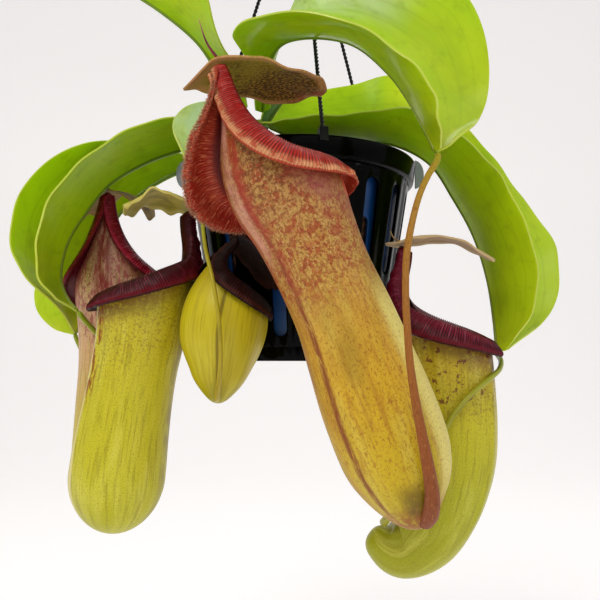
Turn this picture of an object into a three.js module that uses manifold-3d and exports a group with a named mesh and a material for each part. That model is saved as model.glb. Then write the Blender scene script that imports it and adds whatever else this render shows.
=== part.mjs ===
// Hanging pitcher plant in a slotted pot: black outer pot, blue liner, bark mix,
// a three-wire hanger with its hook, one short leafy stem and five pitchers.
// Millimetres, +Z up, +Y away from the front. The origin is where the hook hangs.
import * as THREE from 'three';
import { mergeVertices } from 'three/addons/utils/BufferGeometryUtils.js';
import Module from 'manifold-3d';

const wasm = await Module();
wasm.setup();

// ---------------------------------------------------------------- driving dimensions
const GAP = 0.35;                 // clearance between touching pieces
const POT_RIM_RADIUS = 75;        // six-inch pot
const POT_HEIGHT = 125;
const POT_BASE_RADIUS = 52;
const POT_WALL = 2;
const RIM_BAND_HEIGHT = 12;
const POT_SIDES = 36;
const SLOTS_ROUND = 18;           // slots in each row, 20 degrees apart
const FACET_TURN = 3;             // turns each slot to the middle of a flat of the pot
const EAR_REACH = 6;              // of the clear ears at the rim
const EAR_HEIGHT = 19;
const LINER_WALL = 1.4;
const LINER_HEIGHT = 119;
const LINER_FLOOR = 4;
const MIX_TOP = 110;
const CHIPS = 14;                 // bark chips that stand out of the mix
const APEX_HEIGHT = 329;          // where the three wires meet, above the pot's base
const WIRE_RADIUS = 1.2;
const WIRE_TURNS = [10, 130, -110]; // degrees round the pot, from the front to the right
const HOOK_RADIUS = 11;           // inside of the hook's bow
const HOOK_WIRE = 1.9;
const HANG_HEIGHT = 372;          // inside top of the hook's bow above the pot's base
const BLADE = 1.2;                // thickness of a leaf blade at its margin
const KEEL = 3.4;                 // and along its midrib
const PITCHER_WALL = 1.8;
const UP = new THREE.Vector3(0, 0, 1);

// ---------------------------------------------------------------- finishes
const finish = (color, roughness, metalness = 0) => ({ color, roughness, metalness });
const BLACK_PLASTIC = finish(0x101012, 0.2);
const BLUE_PLASTIC = finish(0x0b4a8c, 0.35);
const CLEAR_PLASTIC = finish(0x9aa0a6, 0.25);
const BARK = finish(0x4a2c1a, 0.95);
const BLACK_WIRE = finish(0x16181c, 0.5);
const LEAF_GREEN = finish(0x8fb60a, 0.3);
const LEAF_DARK = finish(0x4f7d12, 0.35);
const STEM_GREEN = finish(0x6f8c1e, 0.5);
const TENDRIL_RED = finish(0xa0552a, 0.6);

// ---------------------------------------------------------------- small helpers
const vec = (p) => new THREE.Vector3(p[0], p[1], p[2]);
const spline = (points) => new THREE.CatmullRomCurve3(points.map(vec), false, 'centripetal');
const radians = THREE.MathUtils.degToRad;
const mix = THREE.MathUtils.lerp;
const { smoothstep } = THREE.MathUtils;

// Value at t from 0 to 1 of a smooth curve through an evenly spaced list.
function along(list, t) {
  const last = list.length - 1;
  const x = THREE.MathUtils.clamp(t, 0, 1) * last;
  const k = Math.min(Math.floor(x), last - 1);
  const share = x - k;
  const leave = (list[k + 1] - list[Math.max(0, k - 1)]) / 2;
  const arrive = (list[Math.min(last, k + 2)] - list[k]) / 2;
  const step = list[k + 1] - list[k];
  const bend = 3 * step - 2 * leave - arrive;
  return list[k] + share * (leave + share * (bend + share * (leave + arrive - 2 * step)));
}

// A closed geometry as a solid that can be joined and cut.
function solid(geometry) {
  const bare = geometry.clone();
  bare.deleteAttribute('normal');
  bare.deleteAttribute('uv');
  const welded = mergeVertices(bare, 1e-4);
  const index = welded.index.array;
  const kept = [];
  for (let i = 0; i < index.length; i += 3) {
    const [a, b, c] = [index[i], index[i + 1], index[i + 2]];
    if (a !== b && b !== c && c !== a) {
      kept.push(a, b, c);
    }
  }
  return new wasm.Manifold(new wasm.Mesh({
    numProp: 3,
    vertProperties: new Float32Array(welded.attributes.position.array),
    triVerts: new Uint32Array(kept),
  }));
}

// The largest piece of a cut solid, as a geometry.
function geometryOf(body) {
  const pieces = body.decompose();
  pieces.sort((a, b) => b.volume() - a.volume());
  const mesh = pieces[0].getMesh();
  const geometry = new THREE.BufferGeometry();
  geometry.setAttribute('position', new THREE.BufferAttribute(mesh.vertProperties, 3));
  geometry.setIndex(new THREE.BufferAttribute(mesh.triVerts, 1));
  geometry.computeVertexNormals();
  return geometry;
}

const plant = new THREE.Group();
plant.position.z = -HANG_HEIGHT;

function addPiece(name, geometry, look) {
  const mesh = new THREE.Mesh(geometry, new THREE.MeshStandardMaterial(look));
  mesh.name = name;
  plant.add(mesh);
}

// A plain round rod along a curve, its ends closed.
function rod(curve, radius, steps, sides = 8) {
  const circle = new THREE.Shape();
  circle.absarc(0, 0, radius, 0, Math.PI * 2);
  return new THREE.ExtrudeGeometry(circle, { steps, curveSegments: sides, extrudePath: curve });
}

// A round rod whose radius changes: a closed cylinder bent along a curve.
function taperedRod(curve, radii, steps, sides = 6) {
  const geometry = new THREE.CylinderGeometry(1, 1, 1, sides, steps);
  const frames = curve.computeFrenetFrames(steps, false);
  const place = geometry.attributes.position;
  for (let i = 0; i < place.count; i += 1) {
    const t = 0.5 - place.getY(i);
    const k = Math.round(t * steps);
    const radius = along(radii, t);
    const point = curve.getPointAt(t);
    point.addScaledVector(frames.normals[k], place.getX(i) * radius);
    point.addScaledVector(frames.binormals[k], -place.getZ(i) * radius);
    place.setXYZ(i, point.x, point.y, point.z);
  }
  const body = solid(geometry);
  return body.volume() < 0 ? solid(turnedInsideOut(geometry)) : body;
}

function turnedInsideOut(geometry) {
  const flipped = geometry.clone();
  const index = flipped.index.array;
  for (let i = 0; i < index.length; i += 3) {
    [index[i + 1], index[i + 2]] = [index[i + 2], index[i + 1]];
  }
  return flipped;
}

// A thin sheet: place(u, v) gives a point of its middle surface, thickness(v) its
// thickness. Both faces are split into triangles alike, and a strip closes the edge.
function thickSheet(columns, rows, thickness, place) {
  const plane = new THREE.PlaneGeometry(1, 1, columns, rows);
  const count = plane.attributes.position.count;
  const uv = plane.attributes.uv;
  const middle = new THREE.BufferGeometry();
  middle.setIndex(plane.index);
  const points = new Float32Array(count * 3);
  for (let i = 0; i < count; i += 1) {
    place(uv.getX(i), uv.getY(i)).toArray(points, i * 3);
  }
  middle.setAttribute('position', new THREE.BufferAttribute(points, 3));
  middle.computeVertexNormals();
  const normal = middle.attributes.normal;
  const both = new Float32Array(count * 6);
  for (let i = 0; i < count; i += 1) {
    for (let axis = 0; axis < 3; axis += 1) {
      const half = normal.array[i * 3 + axis] * thickness(uv.getY(i)) / 2;
      both[i * 3 + axis] = points[i * 3 + axis] + half;
      both[(count + i) * 3 + axis] = points[i * 3 + axis] - half;
    }
  }
  const index = [];
  for (let i = 0; i < plane.index.count; i += 3) {
    const [a, b, c] = plane.index.array.slice(i, i + 3);
    index.push(a, b, c, count + a, count + c, count + b);
  }
  const edge = [];
  for (let x = 0; x < columns; x += 1) edge.push(x);
  for (let y = 0; y < rows; y += 1) edge.push(y * (columns + 1) + columns);
  for (let x = columns; x > 0; x -= 1) edge.push(rows * (columns + 1) + x);
  for (let y = rows; y > 0; y -= 1) edge.push(y * (columns + 1));
  edge.forEach((a, k) => {
    const b = edge[(k + 1) % edge.length];
    index.push(a, b, count + a, b, count + b, count + a);
  });
  const sheet = new THREE.BufferGeometry();
  sheet.setAttribute('position', new THREE.BufferAttribute(both, 3));
  sheet.setIndex(index);
  return sheet;
}

// ---------------------------------------------------------------- pot, liner and bark
function lathe(profile, sides = POT_SIDES) {
  const points = profile.map(([r, z]) => new THREE.Vector2(r, z));
  const geometry = new THREE.LatheGeometry(points, sides);
  geometry.rotateX(Math.PI / 2);
  geometry.rotateZ(radians(FACET_TURN));
  return solid(geometry);
}

// An upright slot with round ends, cut through a wall at the given turn.
function slotCutter(turn, radius, low, high, width) {
  const slot = new THREE.Shape();
  const r = width / 2;
  slot.absarc(0, high - r, r, 0, Math.PI);
  slot.absarc(0, low + r, r, Math.PI, Math.PI * 2);
  const depth = 24;
  const geometry = new THREE.ExtrudeGeometry(slot, { depth, bevelEnabled: false, curveSegments: 2 });
  geometry.rotateX(Math.PI / 2);
  geometry.translate(0, -radius + depth / 2, 0);
  geometry.rotateZ(radians(turn));
  return solid(geometry);
}

function outerPot() {
  const band = POT_HEIGHT - RIM_BAND_HEIGHT;
  const bandRadius = POT_RIM_RADIUS - 3.6;
  let pot = lathe([
    [0, 1.5], [POT_BASE_RADIUS - 5, 1.5], [POT_BASE_RADIUS - 4, 0], [POT_BASE_RADIUS, 0],
    [bandRadius - 1, band - 1], [POT_RIM_RADIUS - 1.6, band], [POT_RIM_RADIUS, POT_HEIGHT],
    [POT_RIM_RADIUS - 2.6, POT_HEIGHT], [bandRadius - POT_WALL, band],
    [POT_BASE_RADIUS - POT_WALL, 3.5], [0, 3.5],
  ]);
  for (let k = 0; k < SLOTS_ROUND; k += 1) {
    const turn = -2 + k * 360 / SLOTS_ROUND;
    pot = pot.subtract(slotCutter(turn, 64, 52, 106, 10));
    pot = pot.subtract(slotCutter(turn + 10, 56, 14, 44, 8));
  }
  const drain = new THREE.CylinderGeometry(5, 5, 10, 8);
  drain.rotateX(Math.PI / 2);
  for (let k = 0; k < 6; k += 1) {
    const hole = drain.clone();
    hole.translate(32, 0, 0);
    hole.rotateZ(k * Math.PI / 3);
    pot = pot.subtract(solid(hole));
  }
  return geometryOf(pot);
}

// Radius of the liner's outside at a height: it stands inside the pot's tapered wall.
function linerRadius(z) {
  return mix(POT_BASE_RADIUS - POT_WALL - 1.2, POT_RIM_RADIUS - 7.8, z / POT_HEIGHT);
}

function liner() {
  const floor = LINER_FLOOR;
  let cup = lathe([
    [0, floor], [linerRadius(floor), floor], [linerRadius(LINER_HEIGHT), LINER_HEIGHT],
    [linerRadius(LINER_HEIGHT) - LINER_WALL, LINER_HEIGHT],
    [linerRadius(floor) - LINER_WALL, floor + LINER_WALL], [0, floor + LINER_WALL],
  ]);
  for (let k = 0; k < SLOTS_ROUND / 2; k += 1) {
    cup = cup.subtract(slotCutter(38 + k * 40, 58, 14, 84, 7));
  }
  return geometryOf(cup);
}

// A repeatable draw from 0 to 1.
function draws(seed) {
  let state = seed;
  return () => {
    state = (state * 16807) % 2147483647;
    return state / 2147483647;
  };
}

const STEM_PATH = [[-16, 6, 84], [-20, 5, 110], [-26, 3, 136], [-30, 0, 158]];
const STEM_RADII = [6.5, 7, 7.5, 5];

function pottingMix(stemHole) {
  const foot = LINER_FLOOR + LINER_WALL + GAP;
  const shoulder = MIX_TOP - 4;
  const low = linerRadius(LINER_FLOOR) - LINER_WALL;
  const high = linerRadius(LINER_HEIGHT) - LINER_WALL;
  const share = (shoulder - foot) / (LINER_HEIGHT - foot);
  let bark = lathe([
    [0, foot], [low - GAP, foot], [mix(low, high, share) - GAP, shoulder], [0, MIX_TOP],
  ]);
  const next = draws(11);
  for (let k = 0; k < CHIPS; k += 1) {
    const reach = 56 * Math.sqrt(next());
    const turn = next() * Math.PI * 2;
    const chip = new THREE.BoxGeometry(12 + 8 * next(), 8 + 4 * next(), 6);
    chip.rotateX(next() - 0.5);
    chip.rotateY(next() - 0.5);
    chip.rotateZ(next() * Math.PI);
    chip.translate(Math.cos(turn) * reach * 0.85, Math.sin(turn) * reach * 0.85, MIX_TOP - 2);
    bark = bark.add(solid(chip));
  }
  return geometryOf(bark.subtract(stemHole));
}

// A clear half-round ear that stands out from the rim at one side.
function rimEar(side) {
  const outline = new THREE.Shape();
  outline.absellipse(0, 0, EAR_REACH, EAR_HEIGHT / 2, -Math.PI / 2, Math.PI / 2);
  const plate = new THREE.ExtrudeGeometry(outline, { depth: 1.6, bevelEnabled: false, curveSegments: 8 });
  plate.rotateX(Math.PI / 2);
  plate.translate(POT_RIM_RADIUS + GAP, 0.8, POT_HEIGHT - 3);
  if (side < 0) plate.rotateZ(Math.PI);
  return geometryOf(solid(plate));
}

// ---------------------------------------------------------------- hanger
function wireFoot(turn) {
  const angle = radians(turn);
  const r = POT_RIM_RADIUS - 1.3;
  return [Math.sin(angle) * r, -Math.cos(angle) * r, POT_HEIGHT + 1.4];
}

// One taut wire, with the clip at its foot that sits over the pot's rim.
function hangerWire(turn) {
  const foot = vec(wireFoot(turn));
  const top = new THREE.Vector3(0, 0, APEX_HEIGHT).lerp(foot, 0.036);
  const wire = solid(rod(new THREE.LineCurve3(foot, top), WIRE_RADIUS, 1));
  const clip = new THREE.BoxGeometry(5, 7, 8);
  clip.translate(0, -POT_RIM_RADIUS + 1.6, POT_HEIGHT);
  const slit = new THREE.BoxGeometry(8, 4.6, 9);
  slit.translate(0, -POT_RIM_RADIUS + 1.7, POT_HEIGHT - 4.5 + GAP);
  const turned = (geometry) => solid(geometry.rotateZ(radians(turn)));
  return geometryOf(turned(clip).add(wire).subtract(turned(slit)));
}

function hangerHook() {
  const bowHeight = HANG_HEIGHT - HOOK_RADIUS;
  const bow = HOOK_RADIUS + HOOK_WIRE;
  const points = [[0, 0, APEX_HEIGHT - 4], [0, 0, APEX_HEIGHT + 8], [0, 0, bowHeight - bow - 3]];
  for (let k = 0; k <= 9; k += 1) {
    const angle = radians(-80 + k * 250 / 9);
    points.push([Math.cos(angle) * bow, 0, bowHeight + Math.sin(angle) * bow]);
  }
  const hook = taperedRod(spline(points), [HOOK_WIRE, HOOK_WIRE], 26, 6);
  const collar = lathe([
    [0, APEX_HEIGHT - 5], [3.4, APEX_HEIGHT - 5], [4.6, APEX_HEIGHT - 2],
    [4.6, APEX_HEIGHT + 7], [3, APEX_HEIGHT + 10], [0, APEX_HEIGHT + 10],
  ], 12);
  return hook.add(collar);
}

// ---------------------------------------------------------------- leaves
// Each station of a leaf is [near margin, keel, far margin]. The two halves of the
// blade fold up from the keel.
const LEAVES = {
  leaf_upper_right: {
    look: LEAF_GREEN,
    stations: [
      [[-29, -10, 162], [-25, -6, 162], [-20, -3, 166]],
      [[-31, -30, 182], [-21, -22, 182], [-16, -16, 188]],
      [[-39, -62, 189], [-13, -42, 190], [-7, -34, 214]],
      [[-21, -88, 186], [3, -58, 188], [7, -52, 231]],
      [[23, -108, 173], [28, -72, 178], [44, -58, 234]],
      [[50, -126, 147], [47, -90, 153], [93, -66, 211]],
      [[62, -132, 126], [57, -104, 130], [104, -78, 165]],
      [[67, -128, 111], [63, -113, 112], [94, -98, 127]],
      [[68, -121, 102], [66, -118, 101], [74, -114, 106]],
    ],
  },
  leaf_right: {
    look: LEAF_GREEN,
    stations: [
      [[-25, -4, 156], [-22, 0, 155], [-19, 4, 160]],
      [[-3, -14, 155], [0, 8, 149], [-7, 16, 180]],
      [[28, -26, 154], [31, 12, 149], [32, 24, 192]],
      [[60, -34, 154], [60, 6, 145], [70, 22, 197]],
      [[84, -44, 145], [84, -4, 129], [103, 16, 170]],
      [[103, -56, 120], [98, -14, 102], [128, 10, 138]],
      [[118, -66, 95], [108, -22, 77], [149, 6, 107]],
      [[130, -66, 61], [114, -29, 49], [167, 2, 72]],
      [[132, -56, 28], [116, -34, 23], [162, -8, 35]],
      [[120, -42, 6], [116, -38, 5], [124, -34, 7]],
    ],
  },
  leaf_front_left: {
    look: LEAF_GREEN,
    stations: [
      [[-38, -10, 158], [-36, -6, 156], [-36, 0, 160]],
      [[-56, -14, 155], [-56, 2, 149], [-58, 12, 162]],
      [[-76, -22, 153], [-75, 8, 143], [-80, 20, 165]],
      [[-100, -38, 141], [-99, -6, 129], [-109, 12, 154]],
      [[-120, -56, 121], [-119, -22, 110], [-132, 0, 133]],
      [[-134, -70, 96], [-129, -36, 89], [-151, -4, 108]],
      [[-141, -80, 70], [-136, -48, 67], [-157, -16, 79]],
      [[-140, -82, 49], [-136, -56, 46], [-155, -28, 56]],
      [[-133, -74, 35], [-130, -60, 34], [-139, -48, 37]],
      [[-124, -64, 28], [-123, -63, 27], [-124, -62, 28]],
    ],
  },
  leaf_back_left: {
    look: LEAF_GREEN,
    stations: [
      [[-38, 4, 159], [-37, 8, 158], [-36, 10, 161]],
      [[-55, 28, 152], [-55, 32, 147], [-57, 36, 156]],
      [[-79, 37, 147], [-76, 43, 140], [-78, 48, 150]],
      [[-110, 26, 151], [-98, 44, 131], [-108, 52, 151]],
      [[-143, 4, 145], [-122, 40, 112], [-142, 56, 142]],
      [[-167, -12, 123], [-137, 36, 87], [-167, 60, 118]],
      [[-178, -22, 94], [-143, 32, 63], [-182, 56, 88]],
      [[-178, -24, 67], [-145, 29, 45], [-188, 48, 58]],
      [[-168, -16, 49], [-146, 24, 32], [-184, 36, 37]],
      [[-158, 0, 36], [-149, 22, 24], [-168, 27, 22]],
      [[-152, 20, 19], [-152, 22, 18], [-153, 23, 18]],
    ],
  },
  leaf_upper_left: {
    look: LEAF_GREEN,
    stations: [
      [[-34, -13, 163], [-36, -10, 162], [-38, -6, 165]],
      [[-36, -20, 173], [-44, -14, 173], [-39, -8, 178]],
      [[-40, -38, 182], [-53, -24, 184], [-45, -12, 192]],
      [[-49, -58, 189], [-63, -34, 196], [-58, -14, 209]],
      [[-52, -74, 202], [-79, -44, 207], [-68, -14, 228]],
      [[-60, -84, 219], [-98, -52, 217], [-85, -14, 253]],
      [[-82, -88, 232], [-119, -58, 225], [-112, -18, 270]],
      [[-112, -82, 238], [-136, -62, 228], [-136, -32, 265]],
      [[-139, -70, 235], [-148, -65, 226], [-148, -54, 243]],
      [[-153, -67, 224], [-155, -66, 223], [-155, -64, 226]],
    ],
  },
  leaf_front_small: {
    look: LEAF_GREEN,
    stations: [
      [[-34, -10, 158], [-32, -14, 155], [-30, -20, 153]],
      [[-53, -30, 160], [-45, -40, 150], [-38, -50, 143]],
      [[-70, -50, 147], [-54, -62, 137], [-44, -70, 129]],
      [[-72, -66, 133], [-57, -76, 120], [-48, -80, 114]],
      [[-64, -82, 113], [-55, -86, 104], [-50, -88, 101]],
      [[-54, -92, 93], [-52, -93, 89], [-51, -94, 88]],
    ],
  },
  leaf_inner: {
    look: LEAF_DARK,
    stations: [
      [[-28, 10, 156], [-26, 12, 156], [-23, 14, 157]],
      [[-25, 4, 166], [-19, 14, 168], [-11, 20, 169]],
      [[-21, 0, 175], [-11, 18, 181], [-3, 28, 182]],
      [[-13, 2, 187], [-3, 20, 192], [3, 30, 193]],
      [[-1, 12, 197], [3, 22, 198], [4, 24, 198]],
    ],
  },
};

// Point of a blade: u runs from the base to the tip, v from the near margin
// (0) over the keel (0.5) to the far margin (1), each half bowed outwards. spread
// carries the margins further out.
function bladePoint(curves, bulge, u, v, spread) {
  const keel = curves.keel.getPoint(u);
  const margin = (v < 0.5 ? curves.near : curves.far).getPoint(u);
  const across = margin.clone().sub(keel);
  const share = Math.abs(v - 0.5) * 2 * (1 + spread / (across.length() + 0.1));
  const tangent = curves.keel.getTangent(u);
  const out = tangent.cross(across).normalize();
  const bow = bulge * across.length() * 4 * share * (1 - share) * (v < 0.5 ? 1 : -1);
  return keel.addScaledVector(across, share).addScaledVector(out, bow);
}

function leafCurves(leaf) {
  return {
    near: spline(leaf.stations.map((s) => s[0])),
    keel: spline(leaf.stations.map((s) => s[1])),
    far: spline(leaf.stations.map((s) => s[2])),
  };
}

// A leaf's blade, thicker along its keel. swell makes it larger all over, to clear
// what touches it.
function leafSolid(leaf, swell = 0) {
  const curves = leafCurves(leaf);
  const columns = Math.round((leaf.stations.length - 1) * 1.6);
  const thickness = (v) => mix(KEEL, BLADE, Math.min(1, Math.abs(v - 0.5) * 4)) + 2 * swell;
  const place = (u, v) => bladePoint(curves, 0.05, u, v, swell);
  return outwards(thickSheet(columns, 4, thickness, place));
}

// The tendril of each pitcher, from the tip of its leaf to the bottom of the cup.
const TENDRILS = {
  main: {
    route: [[66.4, -120, 97], [61, -124, 88], [55, -130, 75], [48, -141, 50], [46, -148, 35],
      [45.4, -152, 24], [45.4, -155, 13], [46, -156.5, 0], [48, -157, -16], [51, -156, -32],
      [54, -152.5, -46], [56.5, -146, -58], [57, -137, -67]],
    radii: [1.3, 1.4, 1.6, 1.55, 1.65, 2.1, 3, 4.1], steps: 28, look: TENDRIL_RED,
  },
  left: {
    route: [[-122.2, -62.5, 25.6], [-117, -49, 16], [-107, -40, 3], [-97, -35, -22], [-95, -36, -55],
      [-97, -39, -76], [-100, -48, -86]],
    radii: [1.5, 1.4, 1.5, 1.8, 2.3], steps: 16, look: STEM_GREEN,
  },
  back: {
    route: [[-151.6, 22.4, 16.2], [-146, 26, 1], [-143, 30, -16], [-138, 32, -47], [-133, 33, -76],
      [-128, 26, -95], [-122, 10, -102]],
    radii: [1.5, 1.4, 1.5, 1.8, 2.3], steps: 16, look: STEM_GREEN,
  },
  small: {
    route: [[-52, -93, 87.2], [-51, -92, 75], [-48, -101, 58], [-42, -112, 37], [-39, -114, 17],
      [-39, -109, -2], [-43, -96, -19]],
    radii: [1.2, 1.2, 1.3, 1.5, 1.8], steps: 16, look: STEM_GREEN,
  },
  right: {
    route: [[115.6, -39.6, 4.4], [113, -56, 0], [107, -72, -5], [98, -83, -10], [88, -88.4, -17],
      [78, -88.6, -28], [72, -87.6, -40], [65, -85, -57], [54, -82, -72], [46, -77, -81.5]],
    radii: [1.5, 1.4, 1.5, 1.8, 2.3], steps: 20, look: STEM_GREEN,
  },
};

// ---------------------------------------------------------------- pitchers
// The spine runs from the bottom of the cup to the top of the neck, at the back of
// the mouth. radii are spaced evenly along it. front is the way the mouth faces.
// lip is how far the lip reaches out on the two flanks of the mouth, fall how far down.
// swell is the angle from the neck at which it has its full width on each flank, taper
// where it starts to narrow again, and tail the share of the width left at the front.
const PITCHERS = {
  main: {
    spine: [[55, -124, -76], [51, -124, -64], [47, -124, -51], [41, -124, -34], [35, -124, -18],
      [28, -124, 1], [21, -124, 20], [11, -124, 42], [0, -124, 67], [-10, -124, 88],
      [-18, -124, 110], [-28, -124, 138]],
    radii: [19, 24, 26, 26, 24.5, 23, 22.5, 24, 27, 25, 19, 14],
    front: [0.67, 0.74], mouthFront: 0.695, slant: 0.05, neck: 0.05, narrow: [0.5, 0.7], columns: 20,
    lip: [6.6, 20], fall: [7.2, 7], swell: [0.9, 0.4], taper: 0.9, tail: [0.65, 0.1],
    body: finish(0xc8a030, 0.5), mouth: finish(0xb02818, 0.3),
    cap: { length: 73, width: 48, rise: 3, arch: 0, droop: 2, back: 3, lobe: 17 },
    lidLook: finish(0x8a6a1e, 0.8),
    spur: [-8, -6, 18],
  },
  left: {
    spine: [[-101, -65, -92], [-100, -65, -77], [-99, -65, -63], [-97, -65, -45], [-94, -65, -24],
      [-91, -65, -5], [-88, -65, 12], [-85, -65, 35], [-83, -65, 53], [-80, -65, 70],
      [-77, -65, 84]],
    radii: [25, 25.5, 25.5, 24.5, 23.5, 23.2, 24, 26, 26, 21, 15],
    front: [-0.97, -0.2], mouthFront: 0.68, slant: 0.15, neck: 0.08, narrow: [0.3, 0.3], columns: 16,
    lip: [8, 8], fall: [5, 5], body: finish(0xb9ae1e, 0.5), mouth: finish(0x5a0a14, 0.25),
    cap: { length: 42, width: 44, rise: 32, arch: 36, droop: 4, back: 5, lobe: 0 },
    lidLook: finish(0xc9b75a, 0.8),
    spur: [6, 3, 10],
  },
  back: {
    spine: [[-119, -2, -106], [-117, -2, -85], [-115, -2, -56], [-114, -2, -25], [-114, -2, 7],
      [-116, -2, 38], [-118, -2, 64], [-120, -1, 87], [-121, 0, 102]],
    radii: [25, 27.5, 28, 27.5, 26.5, 26.5, 27, 21, 14],
    front: [0.1, 0.99], mouthFront: 0.68, slant: 0.08, neck: 0.08, narrow: [0.42, 0.42], columns: 16,
    lip: [9, 9], fall: [5, 5], body: finish(0xbfa93a, 0.5), mouth: finish(0x8a0a24, 0.25),
    cap: { length: 44, width: 48, rise: 10, arch: 4, droop: 18, back: 2, lobe: 0 },
    lidLook: finish(0xa07a3c, 0.8),
    spur: [2, 3, 8],
  },
  small: {
    spine: [[-43, -83, -22], [-42, -83, -5], [-41, -83, 16], [-37, -82, 37], [-33, -80, 50],
      [-30, -76, 59]],
    radii: [9, 15.5, 21.5, 21.5, 16, 8],
    front: [0.85, 0.5], mouthFront: 0.62, slant: 0.12, neck: 0.14, narrow: [0.4, 0.4], columns: 14,
    lip: [5.2, 3], fall: [4, 2], body: finish(0xc8b414, 0.5), mouth: finish(0x2e1214, 0.4),
    cap: { length: 26, width: 28, rise: -14, arch: 14, droop: 3, back: 2, lobe: 0 },
    lidLook: finish(0x3a1a18, 0.8),
    spur: [-3, -2, 5],
  },
  right: {
    spine: [[40, -60, -91], [45, -60, -97], [55, -60, -100], [67, -60, -92], [75, -60, -78],
      [80, -60, -60], [82, -60, -38], [82, -60, -16], [81, -60, 6], [78, -60, 29],
      [75, -60, 48], [72, -60, 64]],
    radii: [17, 19, 21.5, 24, 26, 26, 25.5, 25, 25, 22, 14],
    front: [0.95, -0.3], mouthFront: 0.69, slant: 0.14, neck: 0.08, narrow: [0.34, 0.34], columns: 16,
    lip: [8.5, 8.5], fall: [6, 6], body: finish(0xa8b000, 0.5), mouth: finish(0x6a0524, 0.25),
    cap: { length: 60, width: 26, rise: 20, arch: 32.5, droop: 1.5, back: 9, lobe: 0 },
    lidLook: finish(0xb9905a, 0.8),
    spur: [-6, 2, 8],
  },
};

const CUP_ROWS = [0, 0.03, 0.08, 0.15, 0.25, 0.37, 0.5, 0.64, 0.78, 0.9, 1];
const WING_HEIGHT = 1.3;

// Angles round a cup, measured from its back, closer together at the back where
// the mouth climbs the neck.
function cupAngle(pitcher, i) {
  const half = pitcher.columns / 2;
  const x = (i - half) / half;
  return Math.PI * Math.sign(x) * Math.abs(x) ** 1.4;
}

// How far up the spine the wall reaches at an angle from the back.
function mouthLevel(pitcher, angle) {
  const { mouthFront, slant, neck, narrow } = pitcher;
  const fade = mix(narrow[0], narrow[1], (1 + Math.sin(angle)) / 2);
  const climb = Math.exp(-Math.max(0, Math.abs(angle) - neck) / fade);
  return mouthFront + slant * (1 + Math.cos(angle)) / 2 + (1 - mouthFront - slant) * climb;
}

// Middle line, front and side directions of a cup at s from 0 to 1.
function cupFrame(pitcher, s) {
  pitcher.curve ??= spline(pitcher.spine);
  const up = pitcher.curve.getTangentAt(s);
  const across = new THREE.Vector3(-pitcher.front[1], pitcher.front[0], 0).normalize();
  const front = across.clone().cross(up).normalize();
  return { centre: pitcher.curve.getPointAt(s), up, front, side: up.clone().cross(front) };
}

// How much of its radius a cup has at s, near its rounded bottom.
function bottomShare(s) {
  const round = 0.17;
  return s < round ? Math.sqrt(1 - (1 - s / round) ** 2) : 1;
}

function cupRadius(pitcher, s) {
  return along(pitcher.radii, s) * bottomShare(s);
}

// The two low wings that run down a cup's front, beside its middle line.
function wing(angle, s) {
  const near = Math.exp(-(((Math.PI - Math.abs(angle) - 0.43) / 0.12) ** 2));
  const fade = smoothstep(s, 0.15, 0.3) * (1 - smoothstep(s, 0.6, 0.72));
  return WING_HEIGHT * near * fade;
}

function cupPoint(pitcher, s, angle, grow) {
  const frame = cupFrame(pitcher, s);
  const radius = Math.max(0, cupRadius(pitcher, s) + grow + wing(angle, s));
  return frame.centre
    .addScaledVector(frame.front, -Math.cos(angle) * radius)
    .addScaledVector(frame.side, Math.sin(angle) * radius);
}

// A cup: a lathe whose profile goes up the outside and down the inside, bent
// along the spine and cut to the slanting mouth.
function cupGeometry(pitcher) {
  const length = (pitcher.curve ??= spline(pitcher.spine)).getLength();
  const floor = PITCHER_WALL / length;
  const rows = CUP_ROWS.map((q) => [q, 0]).concat([...CUP_ROWS].reverse().map((q) => [q, 1]));
  const profile = rows.map((_, j) => new THREE.Vector2(j === 0 || j === rows.length - 1 ? 0 : 1, j));
  const geometry = new THREE.LatheGeometry(profile, pitcher.columns);
  const place = geometry.attributes.position;
  for (let i = 0; i <= pitcher.columns; i += 1) {
    const angle = cupAngle(pitcher, i);
    const top = mouthLevel(pitcher, angle);
    rows.forEach(([q, inside], j) => {
      const s = inside ? mix(floor, top, q) : q * top;
      const pole = q === 0;
      const point = pole
        ? cupFrame(pitcher, s).centre
        : cupPoint(pitcher, s, angle, -inside * PITCHER_WALL);
      place.setXYZ(i * rows.length + j, point.x, point.y, point.z);
    });
  }
  return geometry;
}

function outwards(geometry) {
  const body = solid(geometry);
  return body.volume() < 0 ? solid(turnedInsideOut(geometry)) : body;
}

// Where the wall ends at station k of the mouth, between the cup's own columns.
function mouthPoint(pitcher, k, grow = 0) {
  const i = Math.floor(k / 2);
  const at = (column) => {
    const angle = cupAngle(pitcher, column);
    return cupPoint(pitcher, mouthLevel(pitcher, angle), angle, grow);
  };
  return k % 2 ? at(i).lerp(at(i + 1), 0.5) : at(i);
}

// The section of the lip at an angle: [out from the wall, up from its edge]. It rolls
// from inside the mouth over the cup's edge, and outwards and down.
function lipSection(pitcher, angle, rib) {
  const { swell = [0.9, 0.9], taper = 1.6, tail = [0.6, 0.6] } = pitcher;
  const turn = Math.abs(angle);
  const flank = (1 + Math.sin(angle)) / 2;
  const slim = mix(0.45, 1, smoothstep(turn, 0.05, mix(swell[0], swell[1], flank)))
    * mix(1, mix(tail[0], tail[1], flank), smoothstep(turn, taper, 2.9));
  const wide = mix(pitcher.lip[0], pitcher.lip[1], flank) * slim;
  const inner = 0.4 * Math.min(pitcher.lip[0], pitcher.lip[1]);
  const fall = -mix(pitcher.fall[0], pitcher.fall[1], flank) * slim;
  return [
    [-PITCHER_WALL - inner, -1.2], [-PITCHER_WALL, 2.6 + rib], [0.25 * wide, 3.8 + rib],
    [0.75 * wide, 1.8 + fall * 0.3 + rib], [wide, fall], [0.88 * wide, fall - 1.6],
    [0.5 * wide, 0.5], [-PITCHER_WALL, 0.5],
  ];
}

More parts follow.
